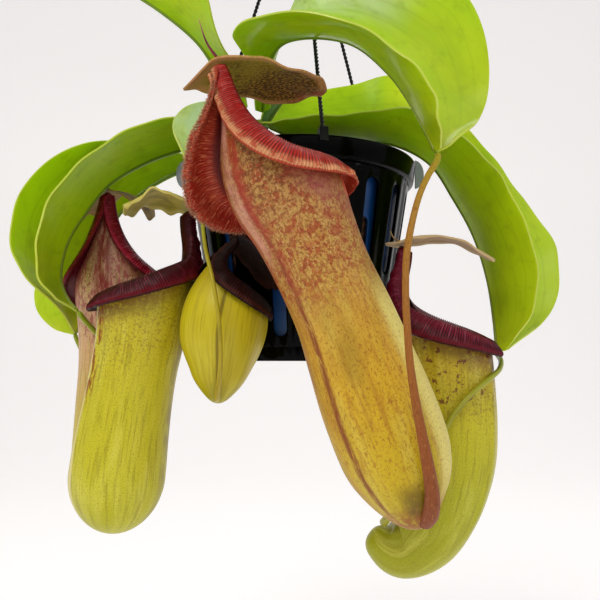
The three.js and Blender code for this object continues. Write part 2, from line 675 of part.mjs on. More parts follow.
// The ribbed lip: a ring whose section rolls outwards and down over the cup's edge.
function lipGeometry(pitcher) {
  const stations = pitcher.columns * 2;
  const corners = 8;
  const ring = new THREE.TorusGeometry(2, 1, corners, stations);
  const place = ring.attributes.position;
  const columns = stations + 1;
  for (let k = 0; k <= stations; k += 1) {
    const here = k % stations;
    const point = mouthPoint(pitcher, here);
    const before = mouthPoint(pitcher, (here + stations - 1) % stations);
    const after = mouthPoint(pitcher, (here + 1) % stations);
    const column = here / 2;
    const angle = mix(cupAngle(pitcher, Math.floor(column)), cupAngle(pitcher, Math.ceil(column)), 0.5);
    const frame = cupFrame(pitcher, Math.min(1, mouthLevel(pitcher, angle)));
    const out = frame.front.clone().multiplyScalar(-Math.cos(angle))
      .addScaledVector(frame.side, Math.sin(angle));
    const run = after.sub(before).normalize();
    out.addScaledVector(run, -out.dot(run)).normalize();
    const rise = run.clone().cross(out).normalize();
    if (rise.dot(frame.up) < 0) rise.negate();
    const section = lipSection(pitcher, angle, here % 2 ? 0.5 : 0);
    for (let j = 0; j <= corners; j += 1) {
      const [o, b] = section[j % corners];
      const spot = point.clone().addScaledVector(out, o).addScaledVector(rise, b);
      place.setXYZ(j * columns + k, spot.x, spot.y, spot.z);
    }
  }
  return ring;
}

// The lid: an arched round leaf on the top of the neck, one side of its base drawn out
// to a lobe on the main pitcher, with a thin spur behind it.
function lidSolid(pitcher) {
  const frame = cupFrame(pitcher, 1);
  const root = cupPoint(pitcher, 1, 0, 0).addScaledVector(frame.up, 5.3);
  const ahead = new THREE.Vector3(pitcher.front[0], pitcher.front[1], 0).normalize();
  const side = new THREE.Vector3(-ahead.y, ahead.x, 0);
  const { length, width, rise, arch, droop, back, lobe } = pitcher.cap;
  const sheet = thickSheet(8, 4, () => BLADE, (u, v) => {
    const across = (v - 0.5) * 2;
    const swing = across * Math.sqrt(Math.max(0.02, 1 - (1.98 * u - 0.99) ** 2));
    const reach = length * u - back;
    const share = Math.max(0, reach) / (length - back);
    const drawn = lobe * smoothstep(across, 0, 1) * (1 - u) ** 5;
    const lift = rise * share - arch * share * share - droop * swing * swing - drawn / 2;
    return root.clone().addScaledVector(ahead, reach)
      .addScaledVector(side, swing * width / 2 + drawn)
      .addScaledVector(UP, lift);
  });
  const spurTip = root.clone().add(vec(pitcher.spur));
  const start = root.clone().addScaledVector(ahead, 3);
  const bend = root.clone().lerp(spurTip, 0.4).addScaledVector(ahead, -1.5);
  const spur = taperedRod(new THREE.CatmullRomCurve3([start, bend, spurTip]), [1.2, 0.8, 0.5], 5, 5);
  return outwards(sheet).add(spur);
}

// The cup's outline, a little larger, that clears its tendril and neighbours.
function cupClearance(pitcher) {
  const swollen = pitcher.radii.map((r) => r + GAP);
  const steps = 28;
  const geometry = new THREE.CylinderGeometry(1, 1, 1, 24, steps);
  const place = geometry.attributes.position;
  for (let i = 0; i < place.count; i += 1) {
    const t = 0.5 - place.getY(i);
    const s = t * 0.62;
    const frame = cupFrame(pitcher, s);
    const bottom = bottomShare(s);
    const radius = along(swollen, s) * bottom + (bottom < 0.05 ? 1.8 : 0.5);
    const point = frame.centre
      .addScaledVector(frame.front, -place.getX(i) * radius)
      .addScaledVector(frame.side, place.getZ(i) * radius);
    if (t === 0) point.addScaledVector(frame.up, -GAP);
    place.setXYZ(i, point.x, point.y, point.z);
  }
  return outwards(geometry);
}

// ---------------------------------------------------------------- assembly
const stemCurve = spline(STEM_PATH);
const stem = taperedRod(stemCurve, STEM_RADII, 12, 10);
const stemClear = taperedRod(stemCurve, STEM_RADII.map((r) => r + GAP + 0.2), 12, 10);

addPiece('outer_pot', outerPot(), BLACK_PLASTIC);
addPiece('liner_pot', liner(), BLUE_PLASTIC);
addPiece('potting_mix', pottingMix(stemClear), BARK);
addPiece('rim_ear_left', rimEar(-1), CLEAR_PLASTIC);
addPiece('rim_ear_right', rimEar(1), CLEAR_PLASTIC);
addPiece('plant_stem', geometryOf(stem), STEM_GREEN);

const wireNames = ['hanger_wire_front', 'hanger_wire_right', 'hanger_wire_left'];
WIRE_TURNS.forEach((turn, k) => addPiece(wireNames[k], hangerWire(turn), BLACK_WIRE));
let hook = hangerHook();
WIRE_TURNS.forEach((turn) => {
  const foot = vec(wireFoot(turn));
  const top = new THREE.Vector3(0, 0, APEX_HEIGHT).lerp(foot, 0.034);
  const seat = solid(rod(new THREE.LineCurve3(foot, top), WIRE_RADIUS + GAP, 1));
  hook = hook.subtract(seat);
});
addPiece('hanger_hook', geometryOf(hook), BLACK_WIRE);

const cups = {};
for (const [name, pitcher] of Object.entries(PITCHERS)) {
  cups[name] = cupClearance(pitcher);
  addPiece(`pitcher_${name}_cup`, geometryOf(outwards(cupGeometry(pitcher))), pitcher.body);
  addPiece(`pitcher_${name}_lip`, geometryOf(outwards(lipGeometry(pitcher))), pitcher.mouth);
  addPiece(`pitcher_${name}_lid`, geometryOf(lidSolid(pitcher)), pitcher.lidLook);
}

let leafClear = stemClear;
for (const [name, leaf] of Object.entries(LEAVES)) {
  addPiece(name, geometryOf(leafSolid(leaf).subtract(leafClear)), leaf.look);
  leafClear = leafClear.add(leafSolid(leaf, GAP));
}

for (const [name, tendril] of Object.entries(TENDRILS)) {
  const rope = taperedRod(spline(tendril.route), tendril.radii, tendril.steps, 8);
  addPiece(`tendril_${name}`, geometryOf(rope.subtract(cups[name]).subtract(leafClear)), tendril.look);
}

export default plant;
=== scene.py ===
"""Looks of a hanging pitcher plant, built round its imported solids.

All sizes are millimetres in the pot's own frame: its zero is the middle of the pot's
base, +Z is up and +Y points away from the front. metres() turns such a point into the
frame that the solids use, whose zero is the inner top of the hook.
"""
import logging
import math
from bisect import bisect_left
from dataclasses import dataclass
from enum import Enum
from functools import cache, cached_property
from itertools import accumulate
from random import Random
from typing import Any, Callable, Iterable, Sequence

import bmesh
import bpy
from mathutils import Euler, Matrix, Vector


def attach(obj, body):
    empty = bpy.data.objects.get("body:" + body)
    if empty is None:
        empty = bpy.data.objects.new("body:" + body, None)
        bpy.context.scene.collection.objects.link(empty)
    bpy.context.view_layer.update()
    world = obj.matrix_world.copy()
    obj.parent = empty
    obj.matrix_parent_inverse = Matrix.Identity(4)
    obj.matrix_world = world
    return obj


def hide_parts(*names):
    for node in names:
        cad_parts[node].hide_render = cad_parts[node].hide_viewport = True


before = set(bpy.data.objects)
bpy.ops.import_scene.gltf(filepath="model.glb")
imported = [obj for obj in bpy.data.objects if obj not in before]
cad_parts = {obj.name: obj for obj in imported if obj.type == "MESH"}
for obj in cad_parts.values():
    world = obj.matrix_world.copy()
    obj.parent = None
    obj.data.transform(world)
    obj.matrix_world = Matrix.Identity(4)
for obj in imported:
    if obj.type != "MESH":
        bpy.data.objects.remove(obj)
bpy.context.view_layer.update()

LOG = logging.getLogger("pitcher_plant")
MM = 0.001
HANG_HEIGHT = 372.0         # from the pot's base up to the inner top of the hook's bow
UP = Vector((0, 0, 1))
WELD = 0.002 * MM           # corners closer than this are one corner
SLIVER = 0.0005 * MM        # edges shorter than this are dissolved
SHARP = math.radians(40)    # an edge that bends by more than this is rounded
Mesh = bmesh.types.BMesh
Tree = bpy.types.NodeTree
Material = bpy.types.Material
Place = Callable[[float, float], Vector]
Chart = Callable[[float, float], tuple[float, float]]
Point = tuple[float, float, float]


# ---- numbers and curves
def metres(point: Vector) -> Vector:
    """Returns a point of the pot's frame, in mm, as a point of the solids' frame, in m."""
    return Vector((point.x, point.y, point.z - HANG_HEIGHT)) * MM


def mix(low: Any, high: Any, share: float) -> Any:
    """Returns the value that lies share of the way from low to high."""
    return low + (high - low) * share


def smooth(x: float, low: float, high: float) -> float:
    """Returns a soft step: 0 below low, 1 above high."""
    t = min(1.0, max(0.0, (x - low) / (high - low)))
    return t * t * (3 - 2 * t)


def along(values: Sequence[float], share: float) -> float:
    """Reads a smooth curve through an evenly spaced list.

    Args:
        values: the values that the curve passes.
        share: how far along the list, from 0 to 1.

    Returns:
        The value there.
    """
    last = len(values) - 1
    x = min(1.0, max(0.0, share)) * last
    k = min(int(x), last - 1)
    x -= k
    leave = (values[k + 1] - values[max(0, k - 1)]) / 2
    arrive = (values[min(last, k + 2)] - values[k]) / 2
    step = values[k + 1] - values[k]
    bend = 3 * step - 2 * leave - arrive
    return values[k] + x * (leave + x * (bend + x * (leave + arrive - 2 * step)))


def lengths(spots: Sequence[Vector]) -> list[float]:
    """Returns a line's length up to each of its points."""
    return list(accumulate(((b - a).length for a, b in zip(spots, spots[1:])), initial=0.0))


def place_in(run: Sequence[float], goal: float) -> float:
    """Finds where a rising list reaches a value.

    Args:
        run: the list.
        goal: the value.

    Returns:
        How far along the list, from 0 to 1.
    """
    last = len(run) - 1
    k = min(max(1, bisect_left(run, goal)), last)
    low, high = run[k - 1], run[k]
    return (k - 1 + min(1.0, max(0.0, (goal - low) / max(1e-9, high - low)))) / last


def swung(turn: float, ahead: Vector, side: Vector) -> Vector:
    """Returns what lies at a turn in radians from one direction towards another."""
    return math.cos(turn) * ahead + math.sin(turn) * side


def round_pot(turn: float, reach: float, z: float) -> Vector:
    """Returns the point at a turn in radians from the pot's front to its right."""
    return Vector((math.sin(turn) * reach, -math.cos(turn) * reach, z))


def linear(colour: int) -> tuple[float, float, float, float]:
    """Turns an sRGB hex colour into the one that the shaders take.

    Args:
        colour: such as 0xRRGGBB.

    Returns:
        Its linear red, green, blue and alpha.
    """
    shares = [(colour >> shift & 255) / 255 for shift in (16, 8, 0)]
    red, green, blue = [
        c / 12.92 if c <= 0.04045 else ((c + 0.055) / 1.055) ** 2.4 for c in shares
    ]
    return red, green, blue, 1.0


class Curve:
    """A centripetal spline through points, the one that the solids follow too."""

    SAMPLES = 24

    def __init__(self, points: Sequence[Point]) -> None:
        """Works out the spline's cubics and how far along it each of them reaches.

        Args:
            points: the points it passes, in mm.
        """
        spots = [Vector(p) for p in points]
        spots = [2 * spots[0] - spots[1], *spots, 2 * spots[-1] - spots[-2]]
        self.cubics = [self.cubic(*spots[k:k + 4]) for k in range(len(spots) - 3)]
        count = self.SAMPLES * len(self.cubics)
        reach = lengths([self.point(k / count) for k in range(count + 1)])
        self.length = reach[-1]
        self.reach = [r / self.length for r in reach]

    @staticmethod
    def cubic(a: Vector, b: Vector, c: Vector, d: Vector) -> tuple[Vector, ...]:
        """Works out the stretch from b to c.

        Args:
            a, b, c, d: four points in a row.

        Returns:
            The cubic's four coefficients.
        """
        before, here, after = [
            max(1e-4, (q - p).length ** 0.5) for p, q in ((a, b), (b, c), (c, d))
        ]
        leave = ((b - a) / before - (c - a) / (before + here) + (c - b) / here) * here
        arrive = ((c - b) / here - (d - b) / (here + after) + (d - c) / after) * here
        return b, leave, 3 * (c - b) - 2 * leave - arrive, 2 * (b - c) + leave + arrive

    def locate(self, t: float) -> tuple[tuple[Vector, ...], float]:
        """Finds the stretch that a place lies in.

        Args:
            t: from 0 at the curve's start to 1 at its end.

        Returns:
            The stretch's cubic, and the place within it.
        """
        x = min(1.0, max(0.0, t)) * len(self.cubics)
        k = min(int(x), len(self.cubics) - 1)
        return self.cubics[k], x - k

    def point(self, t: float) -> Vector:
        """Returns the point at t, where each stretch takes the same share of t."""
        (a, b, c, d), x = self.locate(t)
        return a + x * (b + x * (c + x * d))

    def tangent(self, t: float) -> Vector:
        """Returns the unit direction at t."""
        (_, b, c, d), x = self.locate(t)
        return (b + x * (2 * c + 3 * x * d)).normalized()

    def share(self, s: float) -> float:
        """Returns the place t, for point() and tangent(), at a share s of the length."""
        return place_in(self.reach, s)

    def frames(self, steps: int) -> list[tuple[Vector, Vector, Vector]]:
        """Walks the curve with two cross directions that don't twist.

        Args:
            steps: how many equal steps to take.

        Returns:
            For each step the point and its two cross directions.
        """
        walk = []
        side = self.tangent(0).orthogonal().normalized()
        for k in range(steps + 1):
            t = self.share(k / steps)
            ahead = self.tangent(t)
            side = (side - ahead * side.dot(ahead)).normalized()
            walk.append((self.point(t), side, ahead.cross(side)))
        return walk


# ---- meshes
def bent_grid(columns: int, rows: int, place: Place, charts: dict[str, Chart]) -> Mesh:
    """Bends a flat grid into shape and closes its seams and poles.

    Args:
        columns: faces across, along u.
        rows: faces along v.
        place: gives the point in mm of a corner at u, v from 0 to 1.
        charts: UV layers by name, each a function of the same u and v.

    Returns:
        The grid as a bmesh, in metres.
    """
    bm = bmesh.new()
    bmesh.ops.create_grid(bm, x_segments=columns, y_segments=rows, size=0.5)
    corners = {vert: (vert.co.x + 0.5, vert.co.y + 0.5) for vert in bm.verts}
    for name, chart in charts.items():
        layer = bm.loops.layers.uv.new(name)
        spots = {vert: chart(u, v) for vert, (u, v) in corners.items()}
        for face in bm.faces:
            for loop in face.loops:
                loop[layer].uv = spots[loop.vert]
    for vert, (u, v) in corners.items():
        vert.co = metres(place(u, v))
    return welded(bm)


def welded(bm: Mesh) -> Mesh:
    """Merges corners that meet, and turns the faces outwards.

    Args:
        bm: the mesh, which is changed.

    Returns:
        The same mesh.
    """
    bmesh.ops.remove_doubles(bm, verts=bm.verts, dist=WELD)
    bmesh.ops.dissolve_degenerate(bm, edges=bm.edges, dist=SLIVER)
    bmesh.ops.recalc_face_normals(bm, faces=bm.faces)
    return bm


def joined(parts: Iterable[Mesh]) -> Mesh:
    """Puts several bmeshes into one.

    Args:
        parts: the meshes, which are freed.

    Returns:
        The whole.
    """
    whole = bmesh.new()
    for part in parts:
        mesh = bpy.data.meshes.new("part")
        part.to_mesh(mesh)
        part.free()
        whole.from_mesh(mesh)
        bpy.data.meshes.remove(mesh)
    return whole


def raise_faces(bm: Mesh, by: Point) -> None:
    """Turns a flat face into a plate, by pulling a copy of it out.

    Args:
        bm: the mesh that holds the face alone.
        by: how far the copy moves, in mm.
    """
    grown = bmesh.ops.extrude_face_region(bm, geom=bm.faces[:])
    raised = [part for part in grown["geom"] if isinstance(part, bmesh.types.BMVert)]
    bmesh.ops.translate(bm, verts=raised, vec=Vector(by) * MM)


def tube(curve: Curve, radii: Sequence[float], steps: int, sides: int) -> Mesh:
    """Makes a round stalk along a curve, with closed ends.

    Args:
        curve: its middle line.
        radii: radii spaced evenly along it, in mm.
        steps: rows of faces along it.
        sides: faces round it.

    Returns:
        The stalk, with its charts skin (share round, share along), run and edge.
    """
    walk = curve.frames(steps)

    def place(u: float, v: float) -> Vector:
        """Returns the point in mm at a share u round and a share v along."""
        middle, side, cross = walk[round(v * steps)]
        return middle + swung(2 * math.pi * u, side, cross) * (along(radii, v) if 0 < v < 1 else 0)

    girth = 2 * math.pi * max(radii) * MM
    no_margin = 20 * MM
    return bent_grid(sides, steps, place, {
        "skin": lambda u, v: (2 * u - 1, v),
        "run": lambda u, v: (u * girth, v * curve.length * MM),
        "edge": lambda u, v: (no_margin, v),
    })


def spun(profile: Sequence[tuple[float, float]], steps: int = 144, start: float = 0.0) -> Mesh:
    """Spins a profile of (radius, height) in mm round the pot's middle line.

    Args:
        profile: its corners, in order.
        steps: faces round it.
        start: turn of the first corner in degrees, from the front.

    Returns:
        The shell, as thin as paper.
    """
    turn = math.radians(start)
    bm = bmesh.new()
    corners = [bm.verts.new(metres(round_pot(turn, r, z))) for r, z in profile]
    edges = [bm.edges.new(pair) for pair in zip(corners, corners[1:])]
    bmesh.ops.spin(bm, geom=corners + edges, cent=(0, 0, 0), axis=(0, 0, 1), dvec=(0, 0, 0),
                   angle=2 * math.pi, steps=steps, use_merge=True, use_duplicate=False)
    return welded(bm)


def as_object(name: str, bm: Mesh, look: Material, flat: bool = False) -> bpy.types.Object:
    """Turns a bmesh into an object of the scene.

    Args:
        name: the object's name.
        bm: its mesh, which is freed.
        look: its material.
        flat: whether its faces stay flat shaded.

    Returns:
        The new object.
    """
    mesh = bpy.data.meshes.new(name)
    bm.to_mesh(mesh)
    bm.free()
    mesh.materials.append(look)
    mesh.polygons.foreach_set("use_smooth", [not flat] * len(mesh.polygons))
    made = bpy.data.objects.new(name, mesh)
    bpy.context.collection.objects.link(made)
    return made


def piece(name: str, bm: Mesh, look: Material, node: str,
          flat: bool = False) -> bpy.types.Object:
    """Makes a finished piece that stands for a node of the frame.

    Args:
        name: the piece's name.
        bm: its mesh, which is freed.
        look: its material.
        node: the node that it replaces.
        flat: whether its faces stay flat shaded.

    Returns:
        The new object, riding on the root body.
    """
    made = as_object(name, bm, look, flat)
    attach(made, "root")
    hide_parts(node)
    LOG.info("%s: %d faces, stands for %s", name, len(made.data.polygons), node)
    return made


def thicken(made: bpy.types.Object, wall: float, offset: float = -1.0) -> None:
    """Gives a shell its wall.

    Args:
        made: the shell's object.
        wall: its thickness in mm.
        offset: -1 to grow it inwards, 0 to grow it both ways.
    """
    layer = made.modifiers.new("wall", "SOLIDIFY")
    layer.thickness = wall * MM
    layer.offset = offset
    layer.use_even_offset = True


def soften(made: bpy.types.Object, width: float) -> None:
    """Rounds a piece's sharp edges.

    Args:
        made: the piece.
        width: of the rounding, in mm.
    """
    layer = made.modifiers.new("soft_edges", "BEVEL")
    layer.width = width * MM
    layer.segments = 2
    layer.limit_method = "ANGLE"
    layer.angle_limit = SHARP


# ---- finishes
def add_node(tree: Tree, kind: str, inputs: dict[Any, Any] | None = None,
             stops: Sequence[tuple[float, int]] = (), **settings: Any) -> bpy.types.Node:
    """Adds a node with its settings and links.

    Args:
        tree: the material's node tree.
        kind: the node's type, such as ShaderNodeTexNoise.
        inputs: values for its sockets by name or place: a number, a socket, or a node,
            whose first output is then linked.
        stops: the colours of a ramp, as (place, sRGB hex).
        **settings: properties of the node itself.

    Returns:
        The new node.
    """
    node = tree.nodes.new(kind)
    for name, value in settings.items():
        setattr(node, name, value)
    for key, value in (inputs or {}).items():
        if isinstance(value, bpy.types.Node):
            value = value.outputs[0]
        if isinstance(value, bpy.types.NodeSocket):
            tree.links.new(value, node.inputs[key])
        else:
            node.inputs[key].default_value = value
    for k, (place, colour) in enumerate(stops):
        elements = node.color_ramp.elements
        element = elements[k] if k < 1 else elements[1] if k == 1 else elements.new(place)
        element.position = place
        element.color = linear(colour)
    return node


def blank_material(name: str) -> tuple[Material, Tree]:
    """Makes a material with nothing in it yet.

    Args:
        name: its name.

    Returns:
        The material and its empty node tree.
    """
    material = bpy.data.materials.new(name)
    material.use_nodes = True
    material.node_tree.nodes.clear()
    return material, material.node_tree


class Axis(Enum):
    """What a patch of colour is measured along: a chart, its column and its unit."""

    ROUND = ("skin", "X", 1.0)      # half turns from the back, or shares of a half blade
    ALONG = ("skin", "Y", 1.0)      # share of the length
    ACROSS = ("run", "X", MM)       # mm from the middle line
    EDGE = ("edge", "X", MM)        # mm from the margin or the mouth
    RIB = ("edge", "X", 1.0)        # ribs round a lip


@dataclass(frozen=True)
class Patch:
    """A colour laid over a skin, broken up by noise and kept within limits.

    Attributes:
        colour: sRGB hex colour.
        size: width of one fleck in mm, or 0 for an unbroken patch.
        cover: levels of the noise between which the patch fades in.
        stretch: how many times a fleck is longer than wide, along the piece.
        along, turn, edge, across: for that axis, where the patch starts, is full, is still
            full and has ended; the first two alone where it goes on to the end.
        lines: number of fine lines per unit of their axis, or 0.
        line_axis: the axis that the lines are counted along.
        width: share of the spacing that a line takes.
        strength: the most that it covers.
        relief: how far it stands out, in mm.
    """

    colour: int
    size: float = 0.0
    cover: tuple[float, float] = (0.5, 0.6)
    stretch: float = 1.0
    along: tuple[float, ...] = ()
    turn: tuple[float, ...] = ()
    edge: tuple[float, ...] = ()
    across: tuple[float, ...] = ()
    lines: float = 0.0
    line_axis: Axis = Axis.ROUND
    width: float = 0.4
    strength: float = 1.0
    relief: float = 0.0

    def spans(self) -> list[tuple[Axis, tuple[float, ...]]]:
        """Returns the limits that the patch has, each with its axis."""
        limits = zip((Axis.ALONG, Axis.ROUND, Axis.EDGE, Axis.ACROSS),
                     (self.along, self.turn, self.edge, self.across))
        return [(axis, limit) for axis, limit in limits if limit]


@dataclass(frozen=True)
class Skin:
    """A grown skin, leaf, tendril or pitcher: a base colour with patches over it.

    Attributes:
        name: common name and how it was made.
        ramp: base colours along the piece, or along another axis.
        patches: colours over it, in order.
        roughness: of the skin.
        gloss: weight of the clear wax coat.
        grain: width of the fine grain, in mm.
        depth: how deep the grain is, in mm.
        axis: what the ramp is measured along.
        sheen: weight of the fuzz.
        glow: how much light comes through the flesh.
        specular: how strongly it mirrors, 0.5 being plain skin.
        flesh: how far red, green and blue light travel inside it, in units of 2 mm.
    """

    name: str
    ramp: tuple[tuple[float, int], ...]
    patches: tuple[Patch, ...] = ()
    roughness: float = 0.45
    gloss: float = 0.0
    grain: float = 0.8
    depth: float = 0.05
    axis: Axis = Axis.ALONG
    sheen: float = 0.0
    glow: float = 0.08
    specular: float = 0.5
    flesh: tuple[float, float, float] = (0.6, 0.4, 0.1)
    FLECK_CELLS = 0.6       # cells of the noise across the width of a fleck
    GRAIN_CELLS = 0.7       # and across a grain
    FLESH_UNIT = 2 * MM

    def reading(self, tree: Tree, axis: Axis) -> bpy.types.NodeSocket:
        """Builds what reads an axis's chart.

        Args:
            tree: the material's node tree.
            axis: the axis.

        Returns:
            The socket with its value.
        """
        chart, column, _ = axis.value
        layer = add_node(tree, "ShaderNodeUVMap", uv_map=chart)
        return add_node(tree, "ShaderNodeSeparateXYZ", {0: layer}).outputs[column]

    def mask(self, tree: Tree, patch: Patch) -> bpy.types.Node | float:
        """Builds how much of a patch shows at each place.

        Args:
            tree: the material's node tree.
            patch: the patch.

        Returns:
            The node of the mask, or the patch's plain strength.
        """
        shown: bpy.types.Node | float = patch.strength
        steps = []
        if patch.size:
            run = add_node(tree, "ShaderNodeUVMap", uv_map="run")
            # Each colour reads its own part of the noise, so patches don't coincide.
            drawn = add_node(tree, "ShaderNodeMapping", {
                "Vector": run, "Scale": (1, 1 / patch.stretch, 1),
                "Location": (patch.colour % 97 * 0.01, patch.colour % 89 * 0.01, 0)})
            cloud = add_node(tree, "ShaderNodeTexNoise", {
                "Vector": drawn, "Scale": self.FLECK_CELLS / (patch.size * MM), "Detail": 4.0,
                "Roughness": 0.6, "Distortion": 0.3})
            steps.append((cloud, *patch.cover, 0.0, 1.0))
        if patch.lines:
            count = add_node(tree, "ShaderNodeMath", {
                0: self.reading(tree, patch.line_axis), 1: patch.lines}, operation="MULTIPLY")
            part = add_node(tree, "ShaderNodeMath", {0: count, 1: 0.5}, operation="PINGPONG")
            steps.append((part, 0.0, patch.width, 1.0, 0.0))
        for axis, span in patch.spans():
            places = [place * axis.value[2] for place in span]
            steps.append((self.reading(tree, axis), *places[:2], 0.0, 1.0))
            if places[2:]:
                steps.append((self.reading(tree, axis), *places[2:], 1.0, 0.0))
        for source, low, high, first, last in steps:
            step = add_node(tree, "ShaderNodeMapRange", {
                "Value": source, "From Min": low, "From Max": high,
                "To Min": first, "To Max": last}, interpolation_type="SMOOTHSTEP")
            shown = add_node(tree, "ShaderNodeMath", {0: step, 1: shown}, operation="MULTIPLY")
        return shown

    @cache
    def material(self) -> Material:
        """Builds the base ramp, the patches in order, the grain and the relief.

        Returns:
            The material.
        """
        material, tree = blank_material(self.name)
        colour = add_node(tree, "ShaderNodeValToRGB", {0: self.reading(tree, self.axis)},
                          stops=self.ramp)
        spot = add_node(tree, "ShaderNodeTexCoord").outputs["Object"]
        grain = add_node(tree, "ShaderNodeTexNoise", {
            "Vector": spot, "Scale": self.GRAIN_CELLS / (self.grain * MM), "Detail": 3.0})
        height = add_node(tree, "ShaderNodeMath", {0: grain, 1: self.depth}, operation="MULTIPLY")
        for patch in self.patches:
            shown = self.mask(tree, patch)
            if patch.strength:
                colour = add_node(tree, "ShaderNodeMixRGB", {
                    "Fac": shown, "Color1": colour, "Color2": linear(patch.colour)})
            if patch.relief:
                raised = add_node(tree, "ShaderNodeMath", {0: shown, 1: patch.relief},
                                  operation="MULTIPLY")
                height = add_node(tree, "ShaderNodeMath", {0: height, 1: raised},
                                  operation="ADD")
        bump = add_node(tree, "ShaderNodeBump", {"Height": height, "Distance": MM,
                                                 "Strength": 1.0})
        shader = add_node(tree, "ShaderNodeBsdfPrincipled", {
            "Base Color": colour, "Roughness": self.roughness, "IOR": 1.42,
            "Normal": bump, "Specular IOR Level": self.specular,
            "Coat Weight": self.gloss, "Coat Roughness": 0.12,
            "Sheen Weight": self.sheen, "Sheen Roughness": 0.4,
            "Subsurface Weight": self.glow, "Subsurface Radius": self.flesh,
            "Subsurface Scale": self.FLESH_UNIT})
        add_node(tree, "ShaderNodeOutputMaterial", {"Surface": shader})
        return material


@dataclass(frozen=True)
class Plastic:
    """A moulded or coated surface with faint marks.

    Attributes:
        name: common name and how it was made.
        colour: sRGB hex.
        worn: colour of its scuffs and dust.
        roughness: of the clean surface.
        specular: share of the usual reflection.
        clear: how much light passes through it.
        grain: width of its marks in mm.
        depth: how deep they are, in mm.
        dust: share of the surface that shows the second colour.
    """

    name: str
    colour: int
    worn: int
    roughness: float
    specular: float = 0.5
    clear: float = 0.0
    grain: float = 3.0
    depth: float = 0.01
    dust: float = 0.2
    MARK_CELLS = 0.7        # cells of the noise across the width of a mark

    @cache
    def material(self) -> Material:
        """Builds two colours mixed by a cloud, which also dulls the gloss.

        Returns:
            The material.
        """
        material, tree = blank_material(self.name)
        spot = add_node(tree, "ShaderNodeTexCoord").outputs["Object"]
        cloud = add_node(tree, "ShaderNodeTexNoise", {
            "Vector": spot, "Scale": self.MARK_CELLS / (self.grain * MM), "Detail": 6.0,
            "Roughness": 0.65})
        marks = add_node(tree, "ShaderNodeMapRange", {
            "Value": cloud, "From Min": 0.5, "From Max": 0.75, "To Max": self.dust})
        colour = add_node(tree, "ShaderNodeMixRGB", {
            "Fac": marks, "Color1": linear(self.colour), "Color2": linear(self.worn)})
        rough = add_node(tree, "ShaderNodeMapRange", {
            "Value": cloud, "From Min": 0.3, "From Max": 0.8,
            "To Min": self.roughness, "To Max": min(1.0, self.roughness * 1.6)})
        bump = add_node(tree, "ShaderNodeBump", {
            "Height": cloud, "Distance": self.depth * MM, "Strength": 1.0})
        shader = add_node(tree, "ShaderNodeBsdfPrincipled", {
            "Base Color": colour, "Roughness": rough, "IOR": 1.5, "Normal": bump,
            "Specular IOR Level": self.specular, "Transmission Weight": self.clear})
        add_node(tree, "ShaderNodeOutputMaterial", {"Surface": shader})
        return material


# Polypropylene, injection moulded and polished: deep black with clean highlights.
GLOSS_BLACK = Plastic("gloss_black_polypropylene_moulded", 0x010102, 0x050508, 0.1, 0.06,
                      grain=6.0, dust=0.5)
# The same plastic, unpolished: a soft blue with faint scuffs from potting.
LINER_BLUE = Plastic("blue_polypropylene_moulded", 0x04407E, 0x0A2C66, 0.34, grain=9.0,
                     depth=0.04, dust=0.9)
# Clear PVC, stamped from sheet: grey where it is seen edge on.
CLEAR_PVC = Plastic("clear_pvc_stamped", 0xAEB6BE, 0x8D959E, 0.2, clear=0.35, grain=4.0)
# Steel wire in a dull black coat, twisted.
BLACK_COAT = Plastic("black_coated_steel_wire", 0x050608, 0x121318, 0.35, 0.3, grain=1.5,
                     depth=0.03)
# Pine bark, broken and screened: dry, matt, from dark brown to tan at fresh breaks.
PINE_BARK = Plastic("pine_bark_screened", 0x2A160E, 0x8A5B3A, 0.9, 0.3, grain=4.0,
                    depth=0.9, dust=1.0)


